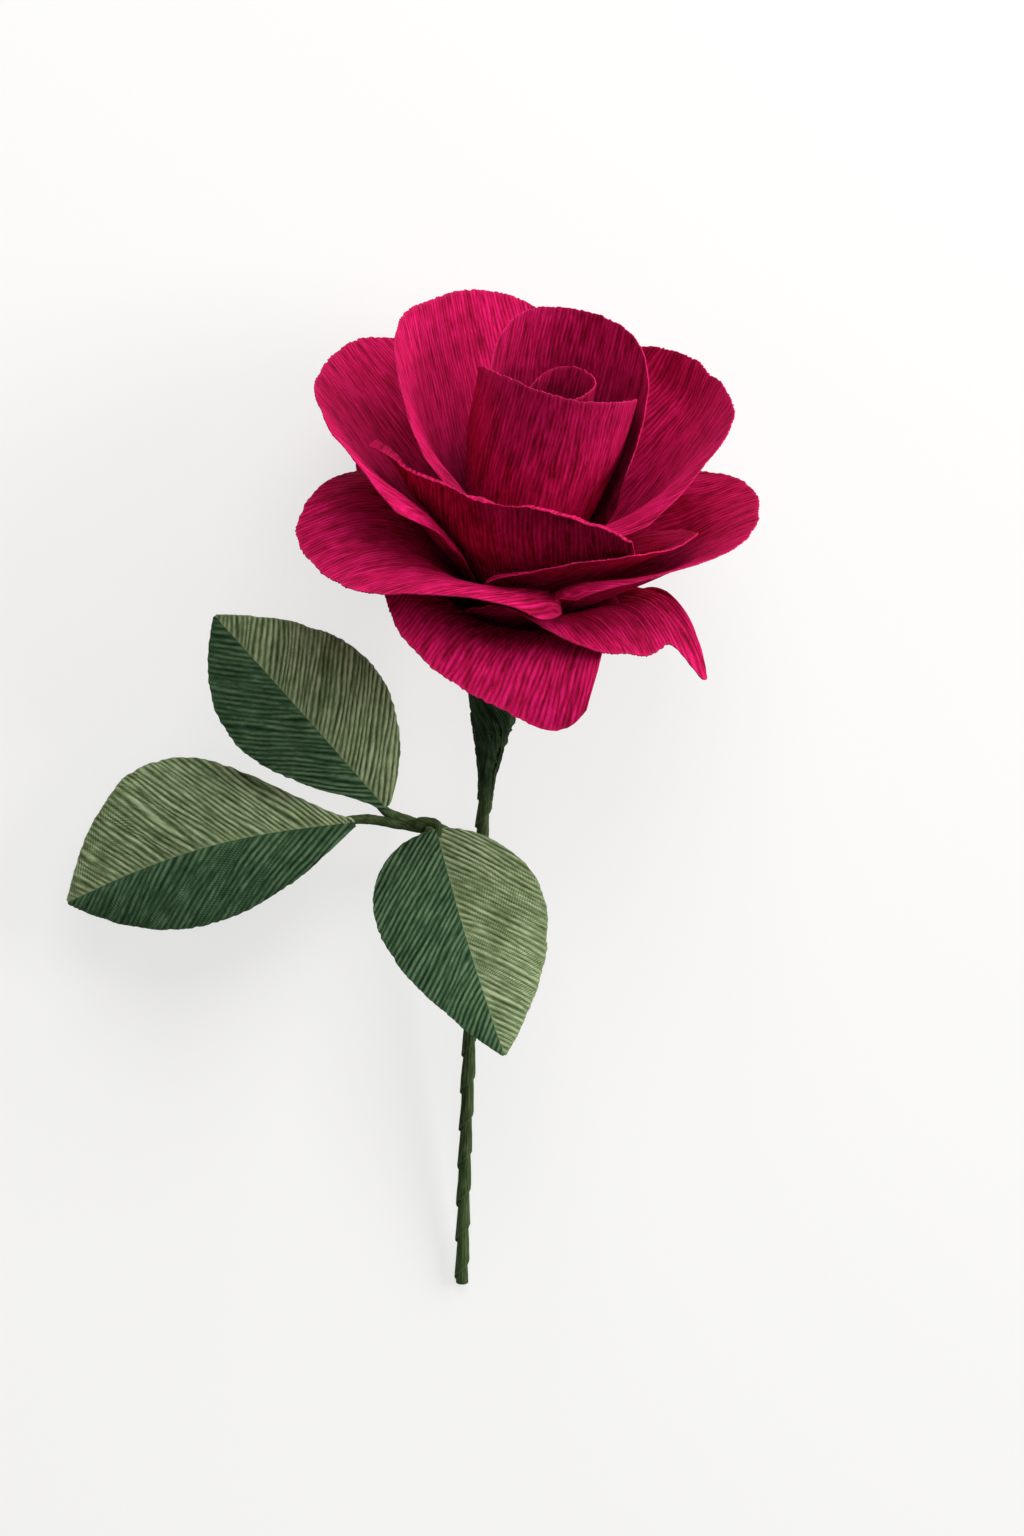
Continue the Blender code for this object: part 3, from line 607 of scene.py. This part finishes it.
def fine_sheet(name, points, u, v, rim, crest, slot, deep=None):
    """A closed thin sheet about a grid of points: its grain in a UV map, its rim and its crests marked for
    painted highlight and shade, and any painted shade towards a petal's foot.
    """
    rows, columns = points.shape[:2]
    normal = normals(points)
    front = (points + normal * SKIN / 2).reshape(-1, 3)
    back = (points - normal * SKIN / 2).reshape(-1, 3)
    count = rows * columns
    index = np.arange(count).reshape(rows, columns)
    a, b, c, d = (q.ravel() for q in (index[:-1, :-1], index[:-1, 1:], index[1:, 1:], index[1:, :-1]))
    border = np.concatenate([index[0, :-1], index[:-1, -1], index[-1, :0:-1], index[:0:-1, 0]])
    after = np.roll(border, -1)
    quads = np.vstack([np.stack([a, d, c, b], 1), np.stack([a, b, c, d], 1) + count,
                       np.stack([border, after, after + count, border + count], 1)])
    mesh = bpy.data.meshes.new(name)
    mesh.vertices.add(2 * count)
    mesh.vertices.foreach_set("co", (np.vstack([front, back]) @ LAY.T + SHIFT).ravel() * MM)
    mesh.loops.add(quads.size)
    mesh.loops.foreach_set("vertex_index", quads.ravel())
    mesh.polygons.add(len(quads))
    mesh.polygons.foreach_set("loop_start", np.arange(0, quads.size, 4))
    mesh.update(calc_edges=True)
    mesh.validate()
    grain = mesh.uv_layers.new(name="grain")
    uv = np.stack([np.tile(u.ravel(), 2), np.tile(v.ravel(), 2)], 1) * MAP_SCALE
    grain.uv.foreach_set("vector", uv[quads.ravel()].ravel())
    # The rim and crest marks carry painted highlight and shade; the optional mark carries painted shade
    # towards a petal's foot
    marks = {"rim": rim, "crest": np.clip(0.5 + 0.5 * crest, 0, 1)}
    if deep is not None:
        marks["deep"] = deep
    for mark, values in marks.items():
        mesh.attributes.new(mark, "FLOAT", "POINT").data.foreach_set("value", np.tile(values.ravel(), 2))
    mesh.shade_smooth()
    mesh.set_sharp_from_angle(angle=math.radians(SHARP_EDGE))
    piece = bpy.data.objects.new(name, mesh)
    bpy.context.scene.collection.objects.link(piece)
    piece.data.materials.append(MATERIALS[slot])
    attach(piece, "root")
    return piece


def petal_places(petal):
    """Places across a fine petal from -1 to 1 and along it from 0 to 1, closer at its sides and rim."""
    column = np.linspace(-1, 1, 2 * round(petal.width / PETAL_COLUMN_STEP) + 1)
    column = 0.6 * column + 0.4 * np.sin(column * CROWDING) / math.sin(CROWDING)
    rows = round(petal.length / PETAL_ROW_STEP)
    foot = FOOT_SHARE * np.linspace(0, 1, 5)
    blade = FOOT_SHARE + (1 - FOOT_SHARE) * np.linspace(0, 1, rows + 1)[1:]
    extra = [1 - 0.35 / rows, FOOT_SHARE + (1 - FOOT_SHARE) / rows / 2]
    return column, np.sort(np.concatenate([foot, blade, extra]))


def frayed(place, seed):
    """How far a petal's cut rim strays at each place: a slow wander, small bites and single fibres."""
    level = 0 * place + 0.5
    return (0.4 * noise(place / 6, level, seed + 11) + 0.14 * noise(place / 1.6, level, seed + 12)
            + 0.30 * noise(place / 0.55, level, seed + 13))


def smooth_surface(petal, column, share, trim):
    """The petal's surface at the given shares of its length, walked in fine even steps."""
    walk = np.linspace(0, 1, 3 * FINE + 1)
    made = petal_surface(petal, column, walk, trim)
    return [curve_through(walk, part, share) for part in made]


def moved_clear(shift, column, share):
    """How far a petal moves clear of its neighbours, known on its plain form and read at finer places."""
    moved = curve_through(SURFACE_SHARES[ROW_NUMBERS], shift, share).transpose(1, 0, 2)
    return curve_through(SURFACE_COLUMNS[COLUMN_NUMBERS], moved, column).transpose(1, 0, 2)


def petal_detail(number, petal, shift):
    """One petal's fine sheet: its form, the wander of hand-cut paper, ridges, and a frayed rim."""
    seed = 100 + 20 * number
    column, share = petal_places(petal)
    points, t, across = smooth_surface(petal, column, share, frayed(petal.width / 2 * column, seed))
    points = points + moved_clear(shift, column, share)

    # The sheet wanders more near its rim and its sides, and less in the rolled bud
    above = np.clip((t - FOOT) / petal.length, 0, 1.2)
    g = across / (0.5 + 0.5 * smooth(above / 0.4))
    reach = t[-1:] - FOOT
    near = smooth(((t - FOOT) / reach - 0.72) / 0.28)
    side = smooth((np.abs(column)[None, :] - 0.75) / 0.25) * smooth(above / 0.3)
    edge = np.maximum(near, side)
    loose = 0.35 if petal.name.startswith("bud") else 1.0
    wander = loose * (0.6 * above * noise(g / 24, t / 30, seed + 3)
                      + 0.45 * edge * noise(g / 8, t / 20, seed + 4)
                      + 0.25 * edge * noise(g / 3.5, t / 9, seed + 5))
    crest = crepe(g, t, seed)
    height = wander + PETAL_RIDGE * crest * (0.35 + 0.65 * smooth(above / 0.25))
    points = points + normals(points) * height[..., None]

    # Marks for the material: the painted highlight along the cut rim, and the painted shade towards the foot
    half_width = np.maximum(petal.width / 2 * smooth(above / 0.5), 2.0)
    edge_gap = np.minimum(reach - (t - FOOT), (1 - np.abs(column))[None, :] * half_width)
    rim = np.clip(1 - edge_gap / 0.45, 0, 1) * smooth(above / 0.2)
    low, high, amount = PAINTED_FOOT_SHADE.get(petal.name, PAINTED_FOOT_SHADE_ELSEWHERE)
    deep = amount * (1 - smooth((t - low) / (high - low)))
    piece = fine_sheet(petal.name + "_paper", points @ HEAD_TURN.T + HEAD_TOP, g + 60 * number, t, rim, crest,
                       "petal_paper", deep)
    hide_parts(petal.name)


def leaf_detail(number, leaf, side, kind):
    """One half of a leaf: ridges run out from the midrib towards the tip."""
    s = np.linspace(0, 1, LEAF_ROWS)
    v = np.linspace(0, 1, LEAF_COLUMNS)
    seed = 500 + 20 * number + (7 if side > 0 else 0)
    base, ahead, length, left, up = leaf_axes(leaf)
    width = leaf.left_width if side > 0 else leaf.right_width
    neck = leaf.dark_neck if kind == "dark" else leaf.light_neck
    shape = s ** neck * (1 - s)
    peak = shape.max()
    fray = (0.25 * noise(s * length / 5, 0 * s, seed + 1) + 0.16 * noise(s * length / 1.4, 0 * s, seed + 2)
            + 0.12 * noise(s * length / 0.7, 0 * s, seed + 4))
    half = width * shape / peak + 1.2 * (1 - s) + 0.5 * s + fray * smooth(shape / peak * 3)
    out = 0.02 + half[:, None] * v[None, :]
    fold, bend = math.radians(leaf.fold), math.radians(LEAF_CURL)
    rise = np.sin(fold) * out - np.sin(bend) * out * v[None, :]
    middle = midrib(leaf, s)
    points = middle[:, None] + side * left * (out * np.cos(fold))[..., None] + up * rise[..., None]
    along = s[:, None] * length + 0 * out
    tilt = math.radians(LEAF_GRAIN[kind])
    g = along * math.cos(tilt) - out * math.sin(tilt)
    t = along * math.sin(tilt) + out * math.cos(tilt)
    crest = crepe(g, t, seed, pitch=1.3, run=13.0, uneven=0.14)
    height = LEAF_RIDGE * crest + 0.1 * v[None, :] * noise(along / 18, out / 14, seed + 3)
    facing = normals(points)
    facing = facing * np.sign((facing @ up))[..., None]
    points = points + facing * (height * smooth(v[None, :] * 8 + 0.3))[..., None]
    # Painted highlight along the half's outer edge and its edge at the midrib
    rim = np.clip(1 - np.minimum((1 - v[None, :]) * half[:, None] / 0.7, out / 0.9), 0, 1)
    if side > 0:
        points, g, t, rim, crest = (part[:, ::-1] for part in (points, g, t, rim, crest))
    name = "%s_%s_half" % (leaf.name, kind)
    piece = fine_sheet(name + "_paper", points, g + 90 * number, t, rim, crest, kind + "_leaf_paper")
    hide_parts(name)


def stem_detail():
    """The strip wound up the stem, crinkled across its length, its edges frayed."""
    widths = np.linspace(-0.5, 0.5, STRIP_COLUMNS)
    top = STEM_LENGTH - FOOT - 1.5
    first = math.ceil((1.0 - STRIP_WIDTH / 2) / STRIP_PITCH * STEPS_IN_A_TURN)
    last = math.floor((top - 1.0 + STRIP_WIDTH / 2) / STRIP_PITCH * STEPS_IN_A_TURN)
    k = np.arange(first, last + 1)
    angle = 2 * math.pi * k / STEPS_IN_A_TURN
    length = k / STEPS_IN_A_TURN * math.hypot(STRIP_PITCH, 2 * math.pi * STRIP_MEAN_RADIUS)
    rise = STRIP_PITCH * k[:, None] / STEPS_IN_A_TURN
    fray = 0.5 * noise(length / 3, 0 * length, 901) + 0.25 * noise(length / 0.8, 0 * length, 902)
    along = rise + widths[None, :] * (STRIP_WIDTH + fray[:, None])
    # What would pass an end of the stem is pressed flat there
    inside = np.clip(along, GAP, top)
    along = inside + 0.002 * (along - inside)
    share = (along - rise) / STRIP_WIDTH + 0.5
    u = length[:, None] + 0 * along
    v = widths[None, :] * STRIP_WIDTH + 0 * along
    crest = crepe(u, v, 903, run=8.0)
    ridge = STRIP_RIDGE * crest + 0.10 * noise(u / 6, v / 5, 904)
    low_radius = STEM_WIRE_RADIUS + GAP + STRIP_PAPER / 2
    radius = low_radius + STRIP_RISE * (1 - share) + np.maximum(ridge, -0.12)

    heights = np.linspace(0, STEM_LENGTH, STEM_STEPS + 1)
    places = np.array([stem_place(h) for h in heights])
    turns = np.array([stem_turn(h) for h in heights])
    where = along / STEM_LENGTH * STEM_STEPS
    i = np.clip(where.astype(int), 0, STEM_STEPS - 1)
    f = (where - i)[..., None]
    middle = places[i] * (1 - f) + places[i + 1] * f
    local = np.stack([np.sin(angle)[:, None] * radius, -np.cos(angle)[:, None] * radius, 0 * radius], -1)
    points = middle + np.einsum("ijab,ijb->ija", turns[i], local)
    # Painted highlight along the strip's edges
    rim = smooth((np.abs(v) - STRIP_WIDTH / 2 + 0.8) / 0.8)
    piece = fine_sheet("stem_wrap_paper", points, u, v, rim, crest, "stem_paper")
    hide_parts("stem_wrap")


def roll_detail(name, node, slot, paths, radii, lap, thickness, hint, seed, pitch, squeeze=None,
                columns=112, rows=64, twist=0.0, fade=0.7, thin=0.0):
    """A fine sheet rolled round rods, ridged along them and lapped over its own edge.

    Squeeze pinches it across, twist slants its edge, fade is how far the painted rim highlight of its far end
    reaches, and thin flattens its lap there.
    """
    paths, radii = np.asarray(paths, float), np.asarray(radii, float)
    knots = np.linspace(0, 1, paths.shape[1])
    s = np.linspace(0, 1, rows)
    fine = np.array([curve_through(knots, p, s) for p in paths])
    wide = np.array([np.interp(s, knots, r) for r in radii])
    a, b = frames_along(fine.mean(axis=0), hint)
    degrees = np.linspace(360 + lap, 0, columns + 1)
    angles = np.radians(degrees)[None, :] + math.radians(twist) * smooth(1 - 1.35 * s)[:, None]
    lift = LAP_LIFT * (thickness + GAP) * smooth((degrees - 360 + 1.5 * lap) / (1.5 * lap))
    out = a[:, None] * np.cos(angles)[..., None] + b[:, None] * np.sin(angles)[..., None]
    reach = np.einsum("kid,ijd->kij", fine, out) + wide[:, :, None]
    outermost = reach.argmax(axis=0)
    row = np.arange(rows)[:, None] + 0 * outermost
    middle = fine[outermost, row]
    radius = wide[outermost, row] + lift[None, :] * (1 - thin * s[:, None] ** 2)
    length = distances_along(fine.mean(axis=0))
    g = np.radians(360 - degrees)[None, :] * wide.max() + 0 * radius
    t = length[:, None] + 0 * radius
    crest = crepe(g, t, seed, pitch)
    height = ROLL_RIDGE * crest
    if squeeze is not None:
        height = height * smooth((length[-1] - t) / 16) + squeeze(g, t)
    points = middle + out * (radius + np.maximum(height, -0.18))[..., None]
    # Painted highlight at the sheet's ends and along its lapped edge
    rim = np.clip(1 - np.minimum(t / 0.7, (length[-1] - t) / fade), 0, 1)
    rim = np.maximum(rim, smooth((degrees[None, :] - 357 - lap) / 3) + 0 * radius)
    piece = fine_sheet(name, points, g, t, rim, crest, slot)
    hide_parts(node)


def leaf_stalk_detail(number, leaf, slot):
    """A leaf's wire in its own twist of paper, thin in the bundle and under the blade, thicker between."""
    path = leaf_wire(leaf, slot)
    length = distances_along(path)
    steps = np.linspace(0, length[-1], round(length[-1] / STALK_STEP))
    fine = curve_through(length, path, steps)
    wide = curve_through(length, np.array(TWIST_RADII), steps)
    wide[-1] = TWIST_END
    a, b = frames_along(fine, (1, 0, 0))
    turn = np.linspace(0, 2 * math.pi, STALK_COLUMNS)
    g = turn[None, :] * wide[:, None]
    t = steps[:, None] + 0 * turn[None, :]
    crest = crepe(g + 0.8 * t, t - 0.8 * g, 600 + 20 * number, pitch=0.9, run=5.0)
    radius = wide[:, None] * (1 + 0.09 * crest + 0.1 * noise(g / 1.2, t / 2.4, 610 + number))
    radius[:, -1] = radius[:, 0]
    points = (fine[:, None] + a[:, None] * (np.cos(turn) * radius)[..., None]
              + b[:, None] * (np.sin(turn) * radius)[..., None])
    piece = fine_sheet(leaf.name + "_stalk_paper", points, g, t, 0 * g, crest, "stem_paper")
    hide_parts(leaf.name + "_wire")


def pinched(g, t):
    """Level wrinkles round the lower part of the calyx, shallower again towards its end."""
    return 0.28 * creases(t / 1.5, g / 6, 711) * smooth((t - 17) / 7) * (1 - 0.6 * smooth((t - 34) / 6))


def calyx_detail(feet):
    """The calyx, pinched closer round the stem than its plain form in its lower part."""
    distances = np.linspace(STEM_LENGTH - CALYX_TOP, STEM_LENGTH - CALYX_LENGTH, len(CALYX_SHAPE))
    widest, bottom = calyx_widest(feet), calyx_bottom()
    radii = [bottom + (widest - bottom) * share for share in CALYX_SHAPE]
    radii[2:] = [radii[2] * 0.92, radii[3] * 0.86, radii[4] * 0.84, 2.1, stem_wrap_radius() - 0.2]
    roll_detail("calyx_sheet", "calyx", "calyx_paper", [[stem_place(d) for d in distances]], [radii],
                CALYX_LAP, PAPER, (1, 0, 0), 700, 1.1, pinched, rows=90, twist=115.0, fade=7.0, thin=0.8)


def spray_detail():
    """The paper rolled round the three leaf wires, and the paper that ties them to the stem."""
    low, high, mid, node = stalk()
    roll_detail("spray_wrap_paper", "spray_wrap", "stem_paper", [[low, high, mid, mid * 0.35 + node * 0.65]],
                [[stalk_radius()] * 4], 40, STRIP_PAPER, (0, 1, 0), 720, 0.9, columns=60, rows=60)
    shares = (0.15, 0.5, 0.85)
    on_stem = [stem_place(SPRAY_START + TIE_LENGTH * t) for t in shares]
    on_stalk = [low * (1 - t) + high * t for t in shares]
    outside = GAP + STRIP_PAPER / 2 + 0.1
    stalk_out = stalk_radius() + STRIP_PAPER / 2 + LAP_LIFT * (STRIP_PAPER + GAP) + outside
    roll_detail("spray_tie_paper", "spray_tie", "stem_paper", [on_stem, on_stalk],
                [[stem_wrap_radius() + outside] * 3, [stalk_out] * 3], 50, STRIP_PAPER, (0, 1, 0), 730, 0.9,
                columns=120, rows=24)


def nodes_of(name):
    """A new material, its node tree and its shader."""
    made = bpy.data.materials.new(name + "_look")
    made.use_nodes = True
    tree = made.node_tree
    shader = tree.nodes["Principled BSDF"]
    return made, tree, shader


def add(tree, kind, values=None, **settings):
    """A new node with its settings and its inputs, each a plain value or the socket that feeds it."""
    node = tree.nodes.new(kind)
    for key, value in settings.items():
        setattr(node, key, value)
    for key, value in (values or {}).items():
        if isinstance(value, bpy.types.NodeSocket):
            tree.links.new(value, node.inputs[key])
        else:
            node.inputs[key].default_value = value
    return node


def streaks(tree, across, along, detail=2.0, seed=0.0):
    """A noise drawn out along the paper's grain: across and along are its counts per 100 mm."""
    place = add(tree, "ShaderNodeUVMap", uv_map="grain").outputs["UV"]
    scale = add(tree, "ShaderNodeMapping", {"Vector": place, "Scale": (across, along, 1.0),
                                            "Location": (seed, seed * 0.37, 0)})
    made = add(tree, "ShaderNodeTexNoise", {"Vector": scale.outputs["Vector"], "Scale": 1.0,
                                            "Detail": detail, "Roughness": 0.6}, noise_dimensions="2D")
    return made.outputs["Fac"]


def ramp(tree, source, stops):
    """A colour for each value of a source, between stops of a value and a colour."""
    made = add(tree, "ShaderNodeValToRGB", {"Fac": source})
    elements = made.color_ramp.elements
    while len(elements) < len(stops):
        elements.new(0.5)
    for element, (place, colour) in zip(elements, stops):
        element.position = place
        element.color = (*colour, 1.0)
    return made.outputs["Color"]


def mixed(tree, factor, first, second, blend="MIX"):
    """Two colours mixed by a factor, each of the three a socket or a plain value."""
    values = {"Factor": factor, "A": first, "B": second}
    values = {key: (*value, 1.0) if isinstance(value, tuple) else value for key, value in values.items()}
    return add(tree, "ShaderNodeMix", values, data_type="RGBA", blend_type=blend).outputs["Result"]


def crepe_material(name, dark, middle, light, rim_highlight_colour, rim_highlight_amount, fine=210.0, foot=None):
    """Crinkled paper with fine fibres: darker in its creases and paler on its crests, as painted shade and
    highlight, and paler at its cut rim, as a painted highlight.
    """
    made, tree, shader = nodes_of(name)
    ridges = streaks(tree, fine, 38.0, 4.0, 1.7)
    crests = add(tree, "ShaderNodeAttribute", attribute_name="crest").outputs["Fac"]
    share = add(tree, "ShaderNodeMix", {"Factor": 0.4, "A": crests, "B": ridges}, data_type="FLOAT")
    blotches = streaks(tree, 9.0, 5.0, 2.0, 5.1)
    # Painted shade and highlight: the creases are darkened and the crests lightened
    colour = ramp(tree, share.outputs["Result"], [(0.25, dark), (0.5, middle), (0.75, light)])
    tone = ramp(tree, blotches, [(0.3, (0.93, 0.93, 0.93)), (0.7, (1.0, 1.0, 1.0))])
    colour = mixed(tree, 1.0, colour, tone, "MULTIPLY")
    # Painted shade: given foot, the colour is darkened towards a petal's foot
    if foot:
        deep = add(tree, "ShaderNodeAttribute", attribute_name="deep").outputs["Fac"]
        colour = mixed(tree, deep, colour, mixed(tree, 1.0, colour, foot, "MULTIPLY"))
    # Painted highlight: a paler colour is mixed in along the cut rim
    rim = add(tree, "ShaderNodeAttribute", attribute_name="rim").outputs["Fac"]
    amount = add(tree, "ShaderNodeMath", {0: rim, 1: rim_highlight_amount}, operation="MULTIPLY", use_clamp=True)
    colour = mixed(tree, amount.outputs[0], colour, rim_highlight_colour)
    tree.links.new(colour, shader.inputs["Base Color"])
    fibres = streaks(tree, fine * 1.6, 60.0, 2.0, 9.3)
    both = add(tree, "ShaderNodeMath", {0: fibres, 1: 0.35, 2: ridges}, operation="MULTIPLY_ADD")
    lift = add(tree, "ShaderNodeBump", {"Strength": 0.9, "Distance": 0.0003, "Height": both.outputs[0]})
    tree.links.new(lift.outputs["Normal"], shader.inputs["Normal"])
    shader.inputs["Roughness"].default_value = 0.85
    shader.inputs["Specular IOR Level"].default_value = 0.1
    return made


def wire_material():
    """Drawn steel wire, slightly blotched."""
    made, tree, shader = nodes_of("wire")
    place = add(tree, "ShaderNodeTexCoord").outputs["Object"]
    drawn = add(tree, "ShaderNodeTexNoise", {"Vector": place, "Scale": 900.0, "Detail": 2.0})
    tree.links.new(ramp(tree, drawn.outputs["Fac"], [(0.3, (0.22, 0.22, 0.21)), (0.7, (0.38, 0.38, 0.37))]),
                   shader.inputs["Base Color"])
    shader.inputs["Metallic"].default_value = 0.9
    shader.inputs["Roughness"].default_value = 0.42
    return made


def floor_material():
    """Seen straight or in a mirror the floor is nearly white, and still shows the shadows on it."""
    made, tree, shader = nodes_of("floor")
    shader.inputs["Base Color"].default_value = (0.88, 0.875, 0.865, 1)
    shader.inputs["Roughness"].default_value = 0.9
    shader.inputs["Specular IOR Level"].default_value = 0.1
    paths = add(tree, "ShaderNodeLightPath").outputs
    seen = add(tree, "ShaderNodeMath", {0: paths["Is Camera Ray"], 1: paths["Is Glossy Ray"]},
               operation="ADD", use_clamp=True)
    seen_too = add(tree, "ShaderNodeMath", {0: seen.outputs[0], 1: paths["Is Transmission Ray"]},
                   operation="ADD", use_clamp=True)
    part = add(tree, "ShaderNodeMath", {0: seen_too.outputs[0], 1: 0.6}, operation="MULTIPLY")
    white = add(tree, "ShaderNodeEmission", {"Color": (1.0, 0.996, 0.988, 1), "Strength": 1.11})
    blend = add(tree, "ShaderNodeMixShader", {"Fac": part.outputs[0], 1: shader.outputs["BSDF"],
                                              2: white.outputs["Emission"]})
    tree.links.new(blend.outputs["Shader"], tree.nodes["Material Output"].inputs["Surface"])
    return made


# Each paper's colour in its creases (painted shade), between them and on its crests (painted highlight), then
# its cut rim's painted highlight and how much of that
MATERIALS = {
    # The petals' foot colour is painted shade that darkens them towards their feet
    "petal_paper": crepe_material(
        "petal_paper", (0.22, 0.001, 0.019), (0.55, 0.003, 0.080), (0.84, 0.012, 0.170),
        (0.76, 0.022, 0.15), 0.4, foot=(0.14, 0.14, 0.10)),
    "dark_leaf_paper": crepe_material(
        "dark_leaf_paper", (0.009, 0.030, 0.012), (0.043, 0.098, 0.043), (0.150, 0.250, 0.130),
        (0.06, 0.12, 0.055), 0.4, fine=150.0),
    "light_leaf_paper": crepe_material(
        "light_leaf_paper", (0.045, 0.072, 0.028), (0.170, 0.240, 0.106), (0.500, 0.580, 0.330),
        (0.28, 0.36, 0.18), 0.5, fine=150.0),
    "calyx_paper": crepe_material(
        "calyx_paper", (0.007, 0.018, 0.007), (0.022, 0.048, 0.018), (0.075, 0.125, 0.055),
        (0.075, 0.115, 0.045), 0.8),
    "stem_paper": crepe_material(
        "stem_paper", (0.035, 0.062, 0.019), (0.075, 0.120, 0.042), (0.135, 0.195, 0.082),
        (0.14, 0.20, 0.09), 0.5),
    "wire": wire_material(),
}


def where_it_lies(solids):
    """The turn and shift that take the upright flower to the frame, found from the middles of its solids."""
    here, there = [], []
    for name, (corners, faces) in solids.items():
        volume, moment = volume_and_centre(corners, faces)
        here.append(moment / volume)
        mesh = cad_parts[name].data
        mesh.calc_loop_triangles()
        co = np.zeros(len(mesh.vertices) * 3)
        mesh.vertices.foreach_get("co", co)
        tri = np.zeros(len(mesh.loop_triangles) * 3, int)
        mesh.loop_triangles.foreach_get("vertices", tri)
        volume, moment = volume_and_centre(co.reshape(-1, 3) / MM, [tuple(f) for f in tri.reshape(-1, 3)])
        there.append(moment / volume)
    here, there = np.array(here), np.array(there)
    a, b = here.mean(axis=0), there.mean(axis=0)
    u, _, w = np.linalg.svd((there - b).T @ (here - a))
    turn = u @ np.diag([1, 1, np.sign(np.linalg.det(u @ w))]) @ w
    shift = b - turn @ a
    print("fit of the frame, mm:", np.abs(here @ turn.T + shift - there).max())
    return turn, shift


HEAD_TOP, HEAD_TURN = stem_place(STEM_LENGTH), stem_turn(STEM_LENGTH)
plain = head_petals()
solids = {name: sheet_solid(grid @ HEAD_TURN.T + HEAD_TOP, PAPER) for name, grid in plain.items()}
LAY, SHIFT = where_it_lies(solids)

for number, petal in enumerate(PETALS):
    shown = replace(petal, **FULLER.get(petal.name, {}))
    petal_detail(number, shown, plain[petal.name] - picked(petal_surface(petal)[0]))
for number, leaf in enumerate(LEAVES):
    leaf_detail(number, leaf, leaf.dark_side, "dark")
    leaf_detail(number, leaf, -leaf.dark_side, "light")
    leaf_stalk_detail(number, leaf, SPRAY_ORDER[number])
stem_detail()
calyx_detail(list(plain.values()))
spray_detail()

for name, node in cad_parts.items():
    if "wire" in name:
        node.data.materials.clear()
        node.data.materials.append(MATERIALS["wire"])

# Camera: the photograph's size and where the stem's cut end is in it, in pixels, and its scale in pixels to
# the millimetre, with the camera's height above the flower's front, its distance and its sensor
PHOTO_WIDTH = 1024
PHOTO_HEIGHT = 1536
CUT_END = (460, 1300)
SCALE = 3.86
UP_TO_CAMERA = math.radians(16.0)
DISTANCE = 1200.0
SENSOR = 36
back = np.array([0, -math.cos(UP_TO_CAMERA), math.sin(UP_TO_CAMERA)])
right = np.array([1.0, 0, 0])
aim = np.array([(PHOTO_WIDTH / 2 - CUT_END[0]) / SCALE, 0,
                (CUT_END[1] - PHOTO_HEIGHT / 2) / (SCALE * math.cos(UP_TO_CAMERA))])


def looking(place, along_x, along_y, along_z):
    """A matrix in the frame from a place and directions in the upright flower."""
    rows = np.eye(4)
    for k, direction in enumerate((along_x, along_y, along_z)):
        rows[:3, k] = LAY @ direction
    rows[:3, 3] = (LAY @ place + SHIFT) * MM
    return Matrix(rows.tolist())


camera = bpy.data.objects.new("camera", bpy.data.cameras.new("camera"))
bpy.context.scene.collection.objects.link(camera)
camera.data.lens = SENSOR * DISTANCE / (PHOTO_HEIGHT / SCALE)
camera.data.sensor_width = SENSOR
camera.data.clip_start, camera.data.clip_end = 0.05, 20
camera.matrix_world = looking(aim + back * DISTANCE, right, np.cross(back, right), back)
bpy.context.scene.camera = camera

# Floor, in metres: half its width, and how far it lies under the frame's floor
FLOOR_HALF = 6
FLOOR_DROP = 0.0002
floor_corners = [(x * FLOOR_HALF, y * FLOOR_HALF, 0) for x, y in ((-1, -1), (1, -1), (1, 1), (-1, 1))]
floor_mesh = bpy.data.meshes.new("floor")
floor_mesh.from_pydata(floor_corners, [], [(0, 1, 2, 3)])
floor = bpy.data.objects.new("floor", floor_mesh)
floor.location.z = -FLOOR_DROP
bpy.context.scene.collection.objects.link(floor)
floor_mesh.materials.append(floor_material())

# Lights: where each one is, in metres, and its power; all have one size and look at one place
LIT_PLACE = (0, 0.04, 0.05)
LIGHT_SIZE = 0.8
LIGHTS = (
    ("overhead_light", (0, 1.45, 0.45), 4.0),
    ("upper_right_light", (0.90, 1.15, 0.45), 7.0),
    ("key_light", (0, 1.05, 1.10), 8.5),
    ("front_light", (0, 0.10, 1.50), 2.0),
    ("right_light", (1.30, 0.30, 0.80), 14.0),
    ("left_light", (-1.30, 0.30, 0.80), 1.0),
)


def area_light(name, place, power):
    """A soft square light that looks at the lit place."""
    data = bpy.data.lights.new(name, "AREA")
    data.energy, data.size = power, LIGHT_SIZE
    light = bpy.data.objects.new(name, data)
    bpy.context.scene.collection.objects.link(light)
    z = np.array(place, float) - np.array(LIT_PLACE, float)
    z /= np.linalg.norm(z)
    x = np.cross((0, 1, 0.1), z)
    x /= np.linalg.norm(x)
    rows = np.eye(4)
    for k, column in enumerate((x, np.cross(z, x), z, place)):
        rows[:3, k] = column
    light.matrix_world = Matrix(rows.tolist())


for name, place, power in LIGHTS:
    area_light(name, place, power)
world = bpy.data.worlds.new("studio")
bpy.context.scene.world = world
world.use_nodes = True
world.node_tree.nodes["Background"].inputs["Color"].default_value = (1.0, 1.0, 1.0, 1)
world.node_tree.nodes["Background"].inputs["Strength"].default_value = 0.06
bpy.context.scene.view_settings.view_transform = "Standard"
